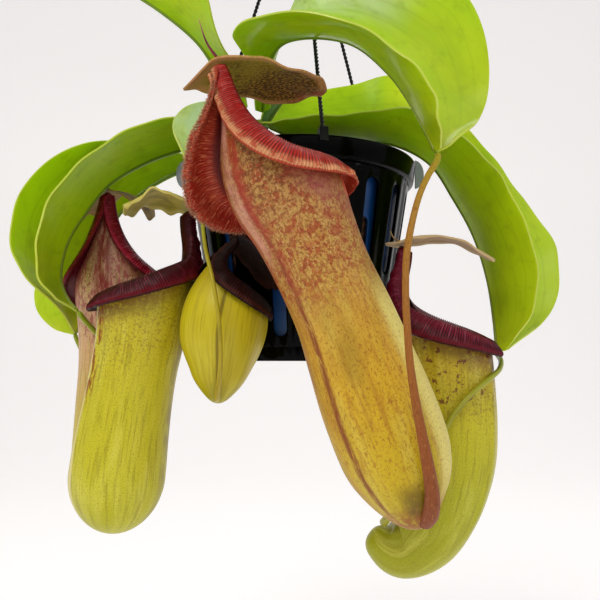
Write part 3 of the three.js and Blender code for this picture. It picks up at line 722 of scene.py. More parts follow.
# ---- the pot
@dataclass
class SlottedWall:
    """A ring of upright round-ended slots in a tapered wall.

    Attributes:
        count: slots round the ring.
        turn: turn of the first one in degrees, from the front to the right.
        low: foot of the ring.
        high: top of the ring.
        slot: lowest and highest point of a slot.
        width: width of a slot.
        radius: gives the wall's radius at a height and a turn.
    """

    count: int
    turn: float
    low: float
    high: float
    slot: tuple[float, float]
    width: float
    radius: Callable[[float, float], float]
    ARC = 16            # steps round one end of a slot
    SIDE = 6            # steps along one straight side
    ROWS = 3            # rows of faces from the slot to the panel's edge
    CORNER = 0.25       # share of an end's arc at which the panel's edge turns its corner

    def outline(self, u: float) -> tuple[tuple[float, float], tuple[float, float]]:
        """Finds matching points of a slot's edge and of its panel's edge.

        Args:
            u: share of the way round the slot.

        Returns:
            Two points as (share of the half panel, height); the first one's share is in
            mm instead.
        """
        half = self.width / 2
        bottom, top = self.slot[0] + half, self.slot[1] - half
        around = 2 * (self.ARC + self.SIDE)
        step = round(u * around) % around
        sign, step = (1, step) if step < around / 2 else (-1, step - around // 2)
        if step <= self.SIDE:
            z = mix(bottom, top, step / self.SIDE)
            spot, edge = (half, z), (1.0, z)
        else:
            arc = (step - self.SIDE) / self.ARC
            spot = (half * math.cos(math.pi * arc), top + half * math.sin(math.pi * arc))
            rise = min(1.0, min(arc, 1 - arc) / self.CORNER)
            share = min(1.0, max(-1.0, 1 - (arc - self.CORNER) / self.CORNER))
            edge = (share, mix(top, self.high, rise))
        if sign > 0:
            return spot, edge
        flip = (bottom + top) - spot[1]
        drop = bottom - (edge[1] - top) * (bottom - self.low) / (self.high - top)
        back = drop if edge[1] > top else bottom + top - edge[1]
        return (-spot[0], flip), (-edge[0], back)

    def panels(self) -> list[Mesh]:
        """Builds one panel round each slot.

        Returns:
            The panels, which meet along their edges.
        """
        half_panel = math.pi / self.count
        made = []
        for k in range(self.count):
            middle = math.radians(self.turn + 360 * k / self.count)

            def place(u: float, v: float) -> Vector:
                """Finds a corner of the panel.

                Args:
                    u: share of the way round the slot.
                    v: 0 at the slot's edge, 1 at the panel's.

                Returns:
                    The point in mm.
                """
                (across, z0), (share, z1) = self.outline(u)
                z = mix(z0, z1, v)
                start = across / self.radius(z0, 0.0)
                turn = middle + mix(start, share * half_panel, v)
                return round_pot(turn, self.radius(z, turn), z)

            made.append(bent_grid(2 * (self.ARC + self.SIDE), self.ROWS, place, {}))
        return made


@dataclass
class HangingPot:
    """The black outer pot, its blue liner, the bark in it and the two ears at its rim.

    Attributes:
        rim_radius: outside of the rim band, in mm as all sizes here.
        base_radius: outside of the base.
        height: of the pot.
        band: height of the rim band.
        wall: thickness of the black wall.
        flute: how deep the wall's flutes are.
        flutes: number of flutes.
        slots: slots in each of the two rings.
        first_slot: turn of the middle of the first slot, and flute, in degrees.
        floor: height of the floor's underside.
        hub: radius of the floor's middle disc.
        drain: radius of a drain hole.
        drain_reach: from the pot's middle to a drain hole's.
        drains: number of drain holes.
        liner_wall: thickness of the blue wall.
        liner_height: top of the liner.
        liner_floor: underside of the liner's floor.
        liner_seam: where the liner's plain rings start, in degrees.
        mix_top: top of the bark.
        chips: number of loose chips.
        ear: how far an ear stands out, and half its height.
    """

    rim_radius: float = 75.0
    base_radius: float = 52.0
    height: float = 125.0
    band: float = 12.0
    wall: float = 2.0
    flute: float = 0.7
    flutes: int = 36
    slots: int = 18
    first_slot: float = -2.0
    floor: float = 1.5
    hub: float = 14.0
    drain: float = 5.0
    drain_reach: float = 32.0
    drains: int = 6
    liner_wall: float = 1.4
    liner_height: float = 119.0
    liner_floor: float = 4.0
    liner_seam: float = -2.0
    mix_top: float = 110.0
    chips: int = 210
    ear: tuple[float, float] = (6.0, 9.5)

    def outer_radius(self, z: float, turn: float) -> float:
        """Finds the outside of the fluted wall.

        Args:
            z: height.
            turn: from the front to the right, in radians.

        Returns:
            The wall's radius there.
        """
        share = z / (self.height - self.band - 1)
        plain = mix(self.base_radius, self.rim_radius - 4.6, share)
        fade = smooth(z, 0, 8) * smooth(self.height - self.band - z, 0.5, 4)
        flute = math.cos(self.flutes * (turn - math.radians(self.first_slot)))
        return plain - self.flute * fade * (0.5 + 0.5 * flute)

    def liner_radius(self, z: float, _turn: float = 0.0) -> float:
        """Returns the radius of the liner's outside, the same at every turn."""
        return mix(self.base_radius - self.wall - 1.2, self.rim_radius - 7.8, z / self.height)

    def base_sector(self, k: int) -> Mesh:
        """Builds the part of the floor round one drain hole.

        Args:
            k: number of the hole.

        Returns:
            The sector, from the hub out to the foot.
        """
        outer, steps = self.base_radius - 5, 24
        corner = [(1, -1), (1, 1), (-1, 1), (-1, -1), (1, -1)]

        def place(u: float, v: float) -> Vector:
            """Finds a corner of the sector.

            Args:
                u: share of the way round the hole, and along the sector's four sides.
                v: 0 at the hole, 1 at the sector's edge.

            Returns:
                The point in mm.
            """
            x = u * 4
            side = min(3, int(x + 1e-6))
            a, b = Vector(corner[side]), Vector(corner[side + 1])
            edge = a.lerp(b, x - side)
            turn = mix(-math.pi / 4, math.pi * 7 / 4, u)
            start = Vector((math.cos(turn), math.sin(turn))) * self.drain
            rim = mix(self.hub, outer, (edge.x + 1) / 2)
            radius = mix(self.drain_reach + start.x, rim, v)
            swing = mix(start.y / self.drain_reach, edge.y * math.pi / self.drains, v)
            swing += k * math.pi / (self.drains / 2)
            return Vector((math.cos(swing) * radius, math.sin(swing) * radius, self.floor))

        return bent_grid(4 * steps, 2, place, {})

    def build_outer(self) -> None:
        """Builds the black pot: two rings of slots, rim band, foot and floor."""
        top = self.height - self.band - 1
        half = 180 / self.slots
        rings = [
            SlottedWall(self.slots, self.first_slot, low=48, high=top, slot=(52, 106),
                        width=10, radius=self.outer_radius),
            SlottedWall(self.slots, self.first_slot + half, low=8, high=48, slot=(14, 44),
                        width=8, radius=self.outer_radius),
        ]
        rim, base, floor = self.rim_radius, self.base_radius, self.floor
        parts = [panel for ring in rings for panel in ring.panels()]
        start = self.first_slot - half
        parts.append(spun([
            (rim - 4.6, top), (rim - 3.2, top + 0.3), (rim - 1.7, top + 1.1),
            (rim - 1.3, top + 3), (rim - 0.4, self.height - 2), (rim, self.height - 1.2),
            (rim - 0.3, self.height - 0.2), (rim - 1, self.height)], start=start))
        parts.append(spun([
            (self.outer_radius(8, math.radians(self.first_slot)), 8), (base + 0.4, 1.2),
            (base, 0.4), (base - 0.6, 0), (base - 3.5, 0), (base - 5, floor)], start=start))
        parts.append(spun([(self.hub, floor), (0.0, floor)], start=start))
        parts += [self.base_sector(k) for k in range(self.drains)]
        made = piece("pot_outer", welded(joined(parts)), GLOSS_BLACK.material(), "outer_pot")
        thicken(made, self.wall)
        soften(made, 0.35)

    def build_liner(self) -> None:
        """Builds the blue liner with its nine long slots."""
        low, high = self.liner_floor, self.liner_height
        reach = self.liner_radius
        ring = SlottedWall(count=9, turn=38, low=10, high=90, slot=(14, 84), width=7,
                           radius=reach)
        parts = ring.panels()
        for profile in (
            [(reach(90), 90), (reach(high), high)],
            [(reach(10), 10), (reach(low + 1), low + 1), (reach(low) - 1, low), (0, low)],
        ):
            parts.append(spun(profile, steps=72, start=self.liner_seam))
        made = piece("pot_liner", welded(joined(parts)), LINER_BLUE.material(), "liner_pot")
        thicken(made, self.liner_wall)
        soften(made, 0.25)

    def build_bark(self) -> None:
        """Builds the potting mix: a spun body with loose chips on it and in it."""
        draw = Random(11)
        foot = self.liner_floor + self.liner_wall + 0.4
        clear = self.liner_wall + 0.5
        sides = [(self.liner_radius(z) - clear, z) for z in (foot, 60, 102)]
        body = spun([(0, foot), *sides, (50, self.mix_top - 3), (0, self.mix_top - 1)],
                    steps=96)
        bmesh.ops.subdivide_edges(body, edges=body.edges, cuts=1, use_grid_fill=True)
        for vert in body.verts:
            vert.co *= 1 - 0.012 * draw.random() * (vert.co.to_2d().length > 0.01)
        for k in range(self.chips):
            turn, size = draw.uniform(0, 2 * math.pi), draw.uniform(5, 12)
            on_top = k % 3 > 0
            reach = 58 * math.sqrt(draw.random()) if on_top else 0.0
            height = self.mix_top - 2 + draw.uniform(-1, 3) if on_top else draw.uniform(16, 98)
            if not on_top:
                # The rest are pressed flat against the liner and show in its slots.
                reach = self.liner_radius(height) - clear - 2.8
                size = 4.5
            spot = Vector((math.cos(turn) * reach, math.sin(turn) * reach, height))
            scale = Matrix.Diagonal((size, size * draw.uniform(0.4, 0.7), 2.6 + draw.random(), 1))
            spin = Euler((draw.uniform(-0.4, 0.4), draw.uniform(-0.4, 0.4), draw.uniform(0, 6.3)))
            lie = spin.to_matrix().to_4x4() @ scale
            made = bmesh.ops.create_cube(
                body, size=MM, matrix=Matrix.Translation(metres(spot)) @ lie)
            for vert in made["verts"]:
                vert.co += Vector([draw.uniform(-0.7, 0.7) * MM for _ in range(3)])
        piece("bark_mix", body, PINE_BARK.material(), "potting_mix", flat=True)

    def build_ears(self) -> None:
        """Builds the two clear half-round ears that stand out from the rim."""
        for name, side in (("left", -1), ("right", 1)):
            bm = bmesh.new()
            bmesh.ops.create_circle(bm, cap_ends=True, segments=40, radius=1.0)
            bmesh.ops.bisect_plane(bm, geom=bm.verts[:] + bm.edges[:] + bm.faces[:],
                                   plane_co=(0, 0, 0), plane_no=(-1, 0, 0), clear_outer=True)
            bmesh.ops.scale(bm, verts=bm.verts, vec=Vector((*self.ear, 1)) * MM)
            raise_faces(bm, (0, 0, 1.6))
            spot = metres(Vector((self.rim_radius + 0.35, 0.8, self.height - 3)))
            turn = Matrix.Rotation(math.pi / 2, 4, "X")
            bm.transform(Matrix.Rotation(math.pi * (side < 0), 4, "Z")
                         @ Matrix.Translation(spot) @ turn)
            made = piece(f"rim_ear_{name}_clear", welded(bm), CLEAR_PVC.material(),
                         f"rim_ear_{name}", flat=True)
            soften(made, 0.3)


@dataclass
class Hanger:
    """Three taut twisted wires, their clips over the rim, and the hook they meet in.

    Attributes:
        turns: where the wires stand, in degrees from the front to the right.
        names: of the wires, in the same order.
        rim_radius: outside of the pot's rim, in mm as all sizes here.
        rim_height: top of the rim.
        apex: where the wires meet.
        hook_radius: inside of the hook's bow.
        hook_wire: half the thickness of the hook.
        strand: half the thickness of one strand.
        strand_gap: from a wire's middle line to a strand's.
        lay: length of one full twist.
        tuck: share of a wire that is hidden in the collar.
        bow_start: where the bow begins, in degrees from its right side.
        bow_sweep: how far it goes round.
    """

    turns: tuple[float, ...] = (10.0, 130.0, -110.0)
    names: tuple[str, ...] = ("front", "right", "left")
    rim_radius: float = 75.0
    rim_height: float = 125.0
    apex: float = 329.0
    hook_radius: float = 11.0
    hook_wire: float = 1.9
    strand: float = 0.72
    strand_gap: float = 0.6
    lay: float = 5.5
    tuck: float = 0.036
    bow_start: float = -80.0
    bow_sweep: float = 250.0
    TWIST_STEPS = 8         # points of a strand's line in one twist
    BOW_POINTS = 10

    def foot(self, turn: float) -> Vector:
        """Returns where the wire at a turn leaves its clip."""
        return round_pot(math.radians(turn), self.rim_radius - 1.3, self.rim_height + 1.4)

    def twisted(self, foot: Vector, top: Vector) -> list[Mesh]:
        """Builds the two strands of a wire, twisted round each other.

        Args:
            foot: its lower end.
            top: its upper end.

        Returns:
            The strands.
        """
        length = (top - foot).length
        steps = round(length / self.lay * self.TWIST_STEPS)
        side = (top - foot).orthogonal().normalized()
        cross = (top - foot).normalized().cross(side)
        strands = []
        for start in (0.0, math.pi):
            points = []
            for k in range(steps + 1):
                turn = start + 2 * math.pi * length / self.lay * k / steps
                swing = swung(turn, side, cross) * self.strand_gap
                points.append(tuple(foot.lerp(top, k / steps) + swing))
            strands.append(tube(Curve(points), [self.strand] * 2, steps * 2, 7))
        return strands

    def clip(self, turn: float) -> Mesh:
        """Builds the small clip over the rim: a bent strip, open below.

        Args:
            turn: where it stands, in degrees.

        Returns:
            The clip.
        """
        outline = [(-3.5, -4), (-3.5, 4), (3.5, 4), (3.5, -4), (2.4, -4), (2.4, 0.2),
                   (-2.2, 0.2), (-2.2, -4)]
        bm = bmesh.new()
        bm.faces.new([bm.verts.new((-2.5 * MM, y * MM, z * MM)) for y, z in outline])
        raise_faces(bm, (5, 0, 0))
        spot = metres(Vector((0, -self.rim_radius + 1.6, self.rim_height)))
        bm.transform(Matrix.Rotation(math.radians(turn), 4, "Z") @ Matrix.Translation(spot))
        bmesh.ops.recalc_face_normals(bm, faces=bm.faces)
        sharp = [edge for edge in bm.edges if edge.calc_face_angle(0) > 0.5]
        bmesh.ops.bevel(bm, geom=sharp, offset=0.4 * MM, affect="EDGES", segments=2,
                        profile=0.5, material=-1)
        return bm

    def build(self) -> None:
        """Builds the wires and the hook with its collar."""
        for name, turn in zip(self.names, self.turns):
            foot = self.foot(turn)
            top = Vector((0, 0, self.apex)).lerp(foot, self.tuck)
            parts = [self.clip(turn), *self.twisted(foot, top)]
            piece(f"wire_{name}_twisted", joined(parts), BLACK_COAT.material(),
                  f"hanger_wire_{name}")
        bow_height = HANG_HEIGHT - self.hook_radius
        bow = self.hook_radius + self.hook_wire
        points = [(0, 0, self.apex - 4), (0, 0, self.apex + 8), (0, 0, bow_height - bow - 3)]
        for k in range(self.BOW_POINTS):
            angle = math.radians(self.bow_start + k * self.bow_sweep / (self.BOW_POINTS - 1))
            points.append((math.cos(angle) * bow, 0, bow_height + math.sin(angle) * bow))
        low = self.apex
        collar = spun([(0, low - 5), (3.4, low - 5), (4.3, low - 3.4), (4.6, low - 2),
                       (4.6, low + 6.4), (4.2, low + 7.6), (3, low + 10), (0, low + 10)], 40)
        hook = tube(Curve(points), [self.hook_wire] * 2, 120, 16)
        piece("hanger_hook_bow", joined([hook, collar]), BLACK_COAT.material(),
              "hanger_hook")


# ---- stem and leaves
def leaf_skin(name: str, tones: tuple[tuple[float, int], ...], extra: tuple[Patch, ...] = (),
              gloss: float = 0.07) -> Skin:
    """Returns a waxy leaf: veins along it, a pale margin, and a dark midrib line that is partly
    painted shade in its fold, with a painted highlight beside it.

    Args:
        name: the finish's name.
        tones: base colours from the leaf's foot to its tip.
        extra: patches of this leaf alone, under the lines.
        gloss: weight of the wax.

    Returns:
        The finish.
    """
    lines = (
        # Veins run nearly parallel to the midrib, some 4 mm apart, and press in a little.
        Patch(0x5E8406, lines=5.0, width=0.1, strength=0.14, relief=-0.04),
        Patch(0x5A820A, size=26, cover=(0.45, 0.75), stretch=2.5, strength=0.45),
        Patch(0xC8D018, size=34, cover=(0.45, 0.7), stretch=2.0, strength=0.45),
        Patch(0x7E9A10, size=5, cover=(0.5, 0.75), strength=0.35),
        Patch(0x3A2A08, size=0.9, cover=(0.77, 0.8), strength=0.7),
        # The dark line along the keel is the midrib's darker green together with painted shade in
        # the fold; the pale line beside it is a painted highlight.
        Patch(0x4E6E08, across=(-1.6, -0.8, 0.8, 1.6), strength=0.7),
        Patch(0xBFD25A, across=(1.5, 1.9, 2.1, 2.6), strength=0.35),
        Patch(0xC9CE5E, edge=(-1, -0.5, 0.25, 0.7), strength=0.6),
    )
    return Skin(name, tones, (*extra, *lines), roughness=0.36, gloss=gloss, grain=1.4,
                depth=0.03, glow=0.45, specular=0.16, flesh=(0.7, 1.0, 0.1))


LEAF_LIME = ((0, 0xA8CC08), (0.35, 0xB0D60A), (0.7, 0xBAD40E), (1, 0xB2C21C))
LEAF_BRIGHT = ((0, 0xA0C406), (0.35, 0xA2CC06), (0.7, 0xACCA08), (1, 0xA8B814))
# The midrib's outside: the leaf's own skin, drawn tight over a round rib.
MIDRIB = Skin("leaf_midrib_skin", ((0, 0x6E8E0C), (0.5, 0x789A0A), (1, 0x86961A)), (
    Patch(0x4E6E08, size=2, cover=(0.5, 0.7), stretch=8, strength=0.5),),
    roughness=0.34, gloss=0.2, grain=1.4, depth=0.03)


@dataclass
class Leaf:
    """A leaf folded along its midrib, bent through stations.

    Attributes:
        name: its node.
        stations: near margin, keel and far margin at each station.
        skin: its finish.
        slot: the record's slot; not used.
        wave: how far its margins ripple, in mm.
        bulge: how far a half blade bows out, as a share of its width.
        blade: its thickness in mm.
    """

    name: str
    stations: tuple[tuple[Point, Point, Point], ...]
    skin: Skin
    slot: str = "leaf_green"
    wave: float = 0.9
    bulge: float = 0.05
    blade: float = 1.1
    LONG_WAVE = 9.0         # mm along the keel in one radian of the long ripple
    SHORT_WAVE = 3.7        # and of the short one
    RIB_RADII = (1.5, 1.5, 1.3, 1.1, 1.2)

    @cached_property
    def lines(self) -> tuple[Curve, Curve, Curve]:
        """Returns the near margin, the keel and the far margin."""
        near, keel, far = [Curve(line) for line in zip(*self.stations)]
        return near, keel, far

    def point(self, v: float, u: float) -> Vector:
        """Finds a point of the blade.

        Args:
            v: share of the way across, 0.5 at the keel.
            u: share of the way along.

        Returns:
            The point in mm.
        """
        keel = self.lines[1]
        across = self.across(v, u)
        share = abs(v - 0.5) * 2
        out = keel.tangent(u).cross(across).normalized()
        side = 1 if v < 0.5 else -1
        bow = self.bulge * across.length * 4 * share * (1 - share) * side
        run = u * keel.length
        ripple = math.sin(run / self.LONG_WAVE + side) + 0.6 * math.sin(run / self.SHORT_WAVE)
        bow += self.wave * ripple * share ** 3 * smooth(across.length, 4, 14)
        return keel.point(u) + across * share + out * bow

    def across(self, v: float, u: float) -> Vector:
        """Returns the way in mm from the keel to the margin on v's side."""
        near, keel, far = self.lines
        return (near if v < 0.5 else far).point(u) - keel.point(u)

    def build(self) -> None:
        """Builds the blade and the midrib that stands out under it."""
        length = self.lines[1].length
        bm = bent_grid(32, 110, self.point, {
            "skin": lambda v, u: (2 * v - 1, u),
            "run": lambda v, u: ((2 * v - 1) * self.across(v, u).length * MM, u * length * MM),
            "edge": lambda v, u: ((1 - abs(2 * v - 1)) * self.across(v, u).length * MM, u),
        })
        made = piece(f"{self.name}_blade", bm, self.skin.material(), self.name)
        thicken(made, self.blade, 0.0)
        soften(made, 0.3)
        rib = tube(self.lines[1], self.RIB_RADII, 90, 10)
        piece(f"{self.name}_midrib", rib, MIDRIB.material(), self.name)


@dataclass
class Stalk:
    """A round stalk of the plant: its stem or a tendril.

    Attributes:
        name: its node.
        route: its middle line.
        radii: radii spaced evenly along it.
        skin: its finish.
        slot: the record's slot; not used.
    """

    name: str
    route: tuple[Point, ...]
    radii: tuple[float, ...]
    skin: Skin
    slot: str
    STEP = 1.6      # mm from one row of faces to the next

    def build(self) -> None:
        """Builds the stalk."""
        curve = Curve(self.route)
        steps = round(curve.length / self.STEP)
        piece(f"{self.name}_stalk", tube(curve, self.radii, steps, 20), self.skin.material(),
              self.name)


# ---- pitchers
@dataclass(frozen=True)
class Cap:
    """Size of a lid in mm.

    Attributes:
        length: from its back to its tip.
        width: across it.
        rise: how far it climbs from its root to its tip.
        arch: how far it bends down again along its length.
        droop: how far its sides hang.
        back: how far it starts behind its root.
        lobe: how far one side of its base is drawn out.
        ripple: how far its margin waves.
    """

    length: float
    width: float
    rise: float
    arch: float
    droop: float
    back: float
    lobe: float = 0.0
    ripple: float = 1.2


@dataclass
class Pitcher:
    """A pitcher: its cup, the ribbed lip round its mouth, its lid and its spur.

    Attributes:
        name: which pitcher of the plant.
        spine: middle line from the bottom of the cup to the top of the neck.
        radii: radii spaced evenly along it.
        front: the way the mouth faces.
        level: height of the mouth's front, its slant and the neck's width.
        narrow: how soon the mouth's edge falls away from the neck on its two flanks.
        flanks: how far the lip reaches out on the two flanks.
        fall: how far it hangs down there.
        cap: the lid.
        spur: where the spur's tip lies from its root.
        body, mouth, lid, barb: the finishes of the cup, the lip, the lid and the spur.
        wing: height of the two wings down the front.
        fuzz: length of the hairs on the lip's outer margin, or 0.
        rib_height: how far a rib of the lip stands up.
        rib_pitch: from one rib to the next.
        scallop: how far the lip's margin waves.
        wall: thickness of the cup.
        swell: angle from the neck at which the lip has its full width on each flank.
        taper: angle from which it narrows again.
        tail: share of its width that is left at the front, on each flank.
    """

    name: str
    spine: tuple[Point, ...]
    radii: tuple[float, ...]
    front: tuple[float, float]
    level: tuple[float, float, float]
    narrow: tuple[float, float]
    flanks: tuple[float, float]
    fall: tuple[float, float]
    cap: Cap
    spur: Point
    body: Skin
    mouth: Skin
    lid: Skin
    barb: Skin
    wing: float = 1.3
    fuzz: float = 0.0
    rib_height: float = 0.35
    rib_pitch: float = 1.15
    scallop: float = 0.3
    wall: float = 1.8
    swell: tuple[float, float] = (0.9, 0.9)
    taper: float = 1.6
    tail: tuple[float, float] = (0.6, 0.6)
    BOTTOM = 0.17                       # share of the spine in which the bottom closes
    WING_TURN = 0.43                    # from the front to the crest of a wing
    WING_WIDTH = 0.12
    WING_SPAN = (0.15, 0.3, 0.6, 0.72)  # shares of the spine where it rises and ends
    CROWD = 1.4                         # how much closer columns stand at the back
    GIRTH = 25.0                        # mm that a radian of the cup counts for
    LID_GAP = 5.3                       # from the neck's end up to the lid's root
    EDGE_SAMPLES = 400
    HAIRS = 2400

    @cached_property
    def curve(self) -> Curve:
        """Returns the middle line."""
        return Curve(self.spine)

    def frame(self, s: float) -> tuple[Vector, Vector, Vector, Vector]:
        """Finds the spine's directions.

        Args:
            s: share of the spine.

        Returns:
            The middle, and the directions up, to the front and to the side.
        """
        t = self.curve.share(s)
        up = self.curve.tangent(t)
        across = Vector((-self.front[1], self.front[0], 0)).normalized()
        front = across.cross(up).normalized()
        return self.curve.point(t), up, front, up.cross(front)

    def mouth_level(self, angle: float) -> float:
        """Finds the height of the slanting mouth, which climbs to the neck at the back.

        Args:
            angle: from the back, in radians.

        Returns:
            How far up the spine the wall reaches.
        """
        base, slant, neck = self.level
        fade = mix(*self.narrow, (1 + math.sin(angle)) / 2)
        climb = math.exp(-max(0.0, abs(angle) - neck) / fade)
        return base + slant * (1 + math.cos(angle)) / 2 + (1 - base - slant) * climb

    def point(self, s: float, angle: float, grow: float = 0.0) -> Vector:
        """Finds a point of the cup's outside.

        Args:
            s: share of the spine.
            angle: from the back, in radians.
            grow: how far outside the cup's surface, in mm.

        Returns:
            The point in mm.
        """
        middle, _, front, side = self.frame(s)
        bottom = math.sqrt(max(0.0, 1 - (1 - min(1.0, s / self.BOTTOM)) ** 2))
        off_crest = math.pi - abs(angle) - self.WING_TURN
        near = math.exp(-((off_crest / self.WING_WIDTH) ** 2))
        fade = smooth(s, *self.WING_SPAN[:2]) * (1 - smooth(s, *self.WING_SPAN[2:]))
        radius = max(0.0, along(self.radii, s) * bottom + grow + self.wing * near * fade)
        return middle + radius * (math.sin(angle) * side - math.cos(angle) * front)

    @staticmethod
    def angle(u: float) -> float:
        """Returns the angle from the back at a share u round, crowded at the back."""
        x = 2 * u - 1
        return math.pi * math.copysign(abs(x) ** Pitcher.CROWD, x)

    def part(self, kind: str, detail: str, bm: Mesh, skin: Skin) -> bpy.types.Object:
        """Makes a piece of the pitcher.

        Args:
            kind: cup, lip or lid, which it stands for.
            detail: the end of its name.
            bm: its mesh.
            skin: its finish.

        Returns:
            The new object.
        """
        plant = f"pitcher_{self.name}"
        return piece(f"{plant}_{detail}", bm, skin.material(), f"{plant}_{kind}")

    def build_cup(self) -> None:
        """Builds the cup's wall up to its slanting mouth."""
        length = self.curve.length

        def level(u: float, v: float) -> float:
            """Returns the share of the spine at a corner, with close rows at the bottom."""
            return self.mouth_level(self.angle(u)) * v ** 1.35

        bm = bent_grid(112, 84, lambda u, v: self.point(level(u, v), self.angle(u)), {
            "skin": lambda u, v: (self.angle(u) / math.pi, level(u, v)),
            "run": lambda u, v: (self.angle(u) * self.GIRTH * MM, level(u, v) * length * MM),
            "edge": lambda u, v: ((level(u, 1) - level(u, v)) * length * MM, v),
        })
        thicken(self.part("cup", "body", bm, self.body), self.wall)

    def edge_point(self, u: float) -> Vector:
        """Returns the point of the mouth's edge at a share u round."""
        angle = self.angle(u % 1)
        return self.point(self.mouth_level(angle), angle)

    @cached_property
    def edge_run(self) -> list[float]:
        """Returns the length in mm of the mouth's edge up to each of its samples."""
        last = self.EDGE_SAMPLES
        return lengths([self.edge_point(k / last) for k in range(last + 1)])

    @property
    def ribs(self) -> int:
        """Returns the number of ribs round the lip."""
        return round(self.edge_run[-1] / self.rib_pitch)

    def edge_share(self, q: float) -> float:
        """Returns the share u round at a share q of the length of the mouth's edge."""
        return place_in(self.edge_run, q * self.edge_run[-1])

    def lip_frame(self, u: float) -> tuple[Vector, Vector, Vector, float]:
        """Finds how the lip sits on the mouth's edge.

        Args:
            u: share round the mouth.

        Returns:
            The edge's point, the way out, the way up, and the angle from the back.
        """
        angle = self.angle(u)
        step = 0.02
        edge = [self.edge_point(x) for x in (u - step, u, u + step)]
        _, up, front, side = self.frame(min(1.0, self.mouth_level(angle)))
        out = math.sin(angle) * side - math.cos(angle) * front
        run = (edge[2] - edge[0]).normalized()
        out = (out - run * out.dot(run)).normalized()
        rise = run.cross(out).normalized()
        return edge[1], out, rise if rise.dot(up) > 0 else -rise, angle

    def section(self, angle: float, rib: float, scallop: float) -> Curve:
        """Works out the section of the lip at an angle.

        Args:
            angle: from the back.
            rib: how far the rib stands up here.
            scallop: how far the margin stands out here.

        Returns:
            Its closed outline as (out, 0, up), from inside the mouth over the crest to the
            margin and back under it.
        """
        turn = abs(angle)
        flank = (1 + math.sin(angle)) / 2
        slim = mix(0.45, 1, smooth(turn, 0.05, mix(*self.swell, flank)))
        slim *= mix(1, mix(*self.tail, flank), smooth(turn, self.taper, 2.9))
        wide = mix(*self.flanks, flank) * slim
        inner = 0.4 * min(self.flanks)
        fall = -mix(*self.fall, flank) * slim
        rim = wide + scallop
        corners = [
            (-self.wall - inner, -1.2), (-self.wall, 2.6 + rib), (0.25 * wide, 3.8 + rib),
            (0.75 * wide, 1.8 + fall * 0.3 + rib), (rim, fall), (0.88 * wide, fall - 1.6),
            (0.5 * wide, 0.5), (-self.wall, 0.5), (-self.wall - inner, -1.2),
        ]
        return Curve([(out, 0, up) for out, up in corners])

    def build_lip(self) -> None:
        """Builds the ribbed lip, rolled from inside the mouth over its edge."""
        ribs = self.ribs
        columns, rows = ribs * 4, 32
        sections = []
        for k in range(columns + 1):
            run = self.edge_run[-1] * k / columns
            wave = math.cos(2 * math.pi * k / 4)
            slow = math.sin(run / 0.95) + math.sin(run / 1.6 + 1)
            edge, out, rise, angle = self.lip_frame(self.edge_share(k / columns))
            outline = self.section(angle, self.rib_height * wave, self.scallop * (wave + slow))
            sections.append((edge, out, rise, outline, angle / math.pi))

        def place(q: float, v: float) -> Vector:
            """Finds a corner of the lip.

            Args:
                q: share of the way round the mouth.
                v: share of the way round the lip's section.

            Returns:
                The point in mm.
            """
            edge, out, rise, outline, _ = sections[round(q * columns)]
            spot = outline.point(v)
            return edge + out * spot.x + rise * spot.z

        bm = bent_grid(columns, rows, place, {
            "skin": lambda q, v: (sections[round(q * columns)][4], v),
            "run": lambda q, v: (q * self.edge_run[-1] * MM, v * 30 * MM),
            "edge": lambda q, v: (q * ribs, v),
        })
        self.part("lip", "lip_ribbed", bm, self.mouth)

    def lid_root(self) -> tuple[Vector, Vector, Vector]:
        """Finds where the lid grows from the neck.

        Returns:
            Its root, and its directions ahead and to the side.
        """
        root = self.point(1, 0) + self.frame(1)[1] * self.LID_GAP
        ahead = Vector((*self.front, 0)).normalized()
        return root, ahead, Vector((-ahead.y, ahead.x, 0))

    @staticmethod
    def lid_spot(v: float, w: float) -> tuple[float, float]:
        """Returns the swing to the side (-1 to 1) and the share of the length at v, w."""
        u = (1 - math.cos(math.pi * w)) / 2
        return (2 * v - 1) * math.sqrt(max(0.02, 1 - (1.98 * u - 0.99) ** 2)), u

    def build_lid(self) -> None:
        """Builds the arched lid with its rippled margin, and the spur behind it."""
        root, ahead, side = self.lid_root()
        cap = self.cap

        def place(v: float, w: float) -> Vector:
            """Finds a point of the lid.

            Args:
                v: share of the way across.
                w: share of the way from its back to its tip.

            Returns:
                The point in mm.
            """
            swing, u = self.lid_spot(v, w)
            reach = cap.length * u - cap.back
            share = max(0.0, reach) / (cap.length - cap.back)
            drawn = cap.lobe * smooth(2 * v - 1, 0, 1) * (1 - u) ** 5
            lift = cap.rise * share - cap.arch * share ** 2 - cap.droop * swing ** 2 - drawn / 2
            turn = math.atan2(swing, 2 * u - 1)
            wave = math.sin(5 * turn + 1) + 0.5 * math.sin(11 * turn)
            lift += cap.ripple * math.hypot(swing, 2 * u - 1) ** 4 * wave * smooth(reach, 2, 12)
            return root + ahead * reach + side * (swing * cap.width / 2 + drawn) + UP * lift

        def to_margin(v: float, w: float) -> float:
            """Returns the distance to the lid's margin in metres."""
            swing, u = self.lid_spot(v, w)
            return (1 - min(1.0, math.hypot(swing, 2 * u - 1))) * cap.width / 2 * MM

        bm = bent_grid(40, 48, place, {
            "skin": lambda v, w: (2 * v - 1, self.lid_spot(v, w)[1]),
            "run": lambda v, w: (self.lid_spot(v, w)[0] * cap.width / 2 * MM,
                                 self.lid_spot(v, w)[1] * cap.length * MM),
            "edge": lambda v, w: (to_margin(v, w), w),
        })
        made = self.part("lid", "lid_leaf", bm, self.lid)
        thicken(made, 1.0, 0.0)
        soften(made, 0.25)
        tip = root + Vector(self.spur)
        bend = root.lerp(tip, 0.4) - ahead * 1.5
        path = Curve([tuple(root + ahead * 3), tuple(bend), tuple(tip)])
        self.part("lid", "spur", tube(path, [0.9, 0.5, 0.25], 16, 10), self.barb)

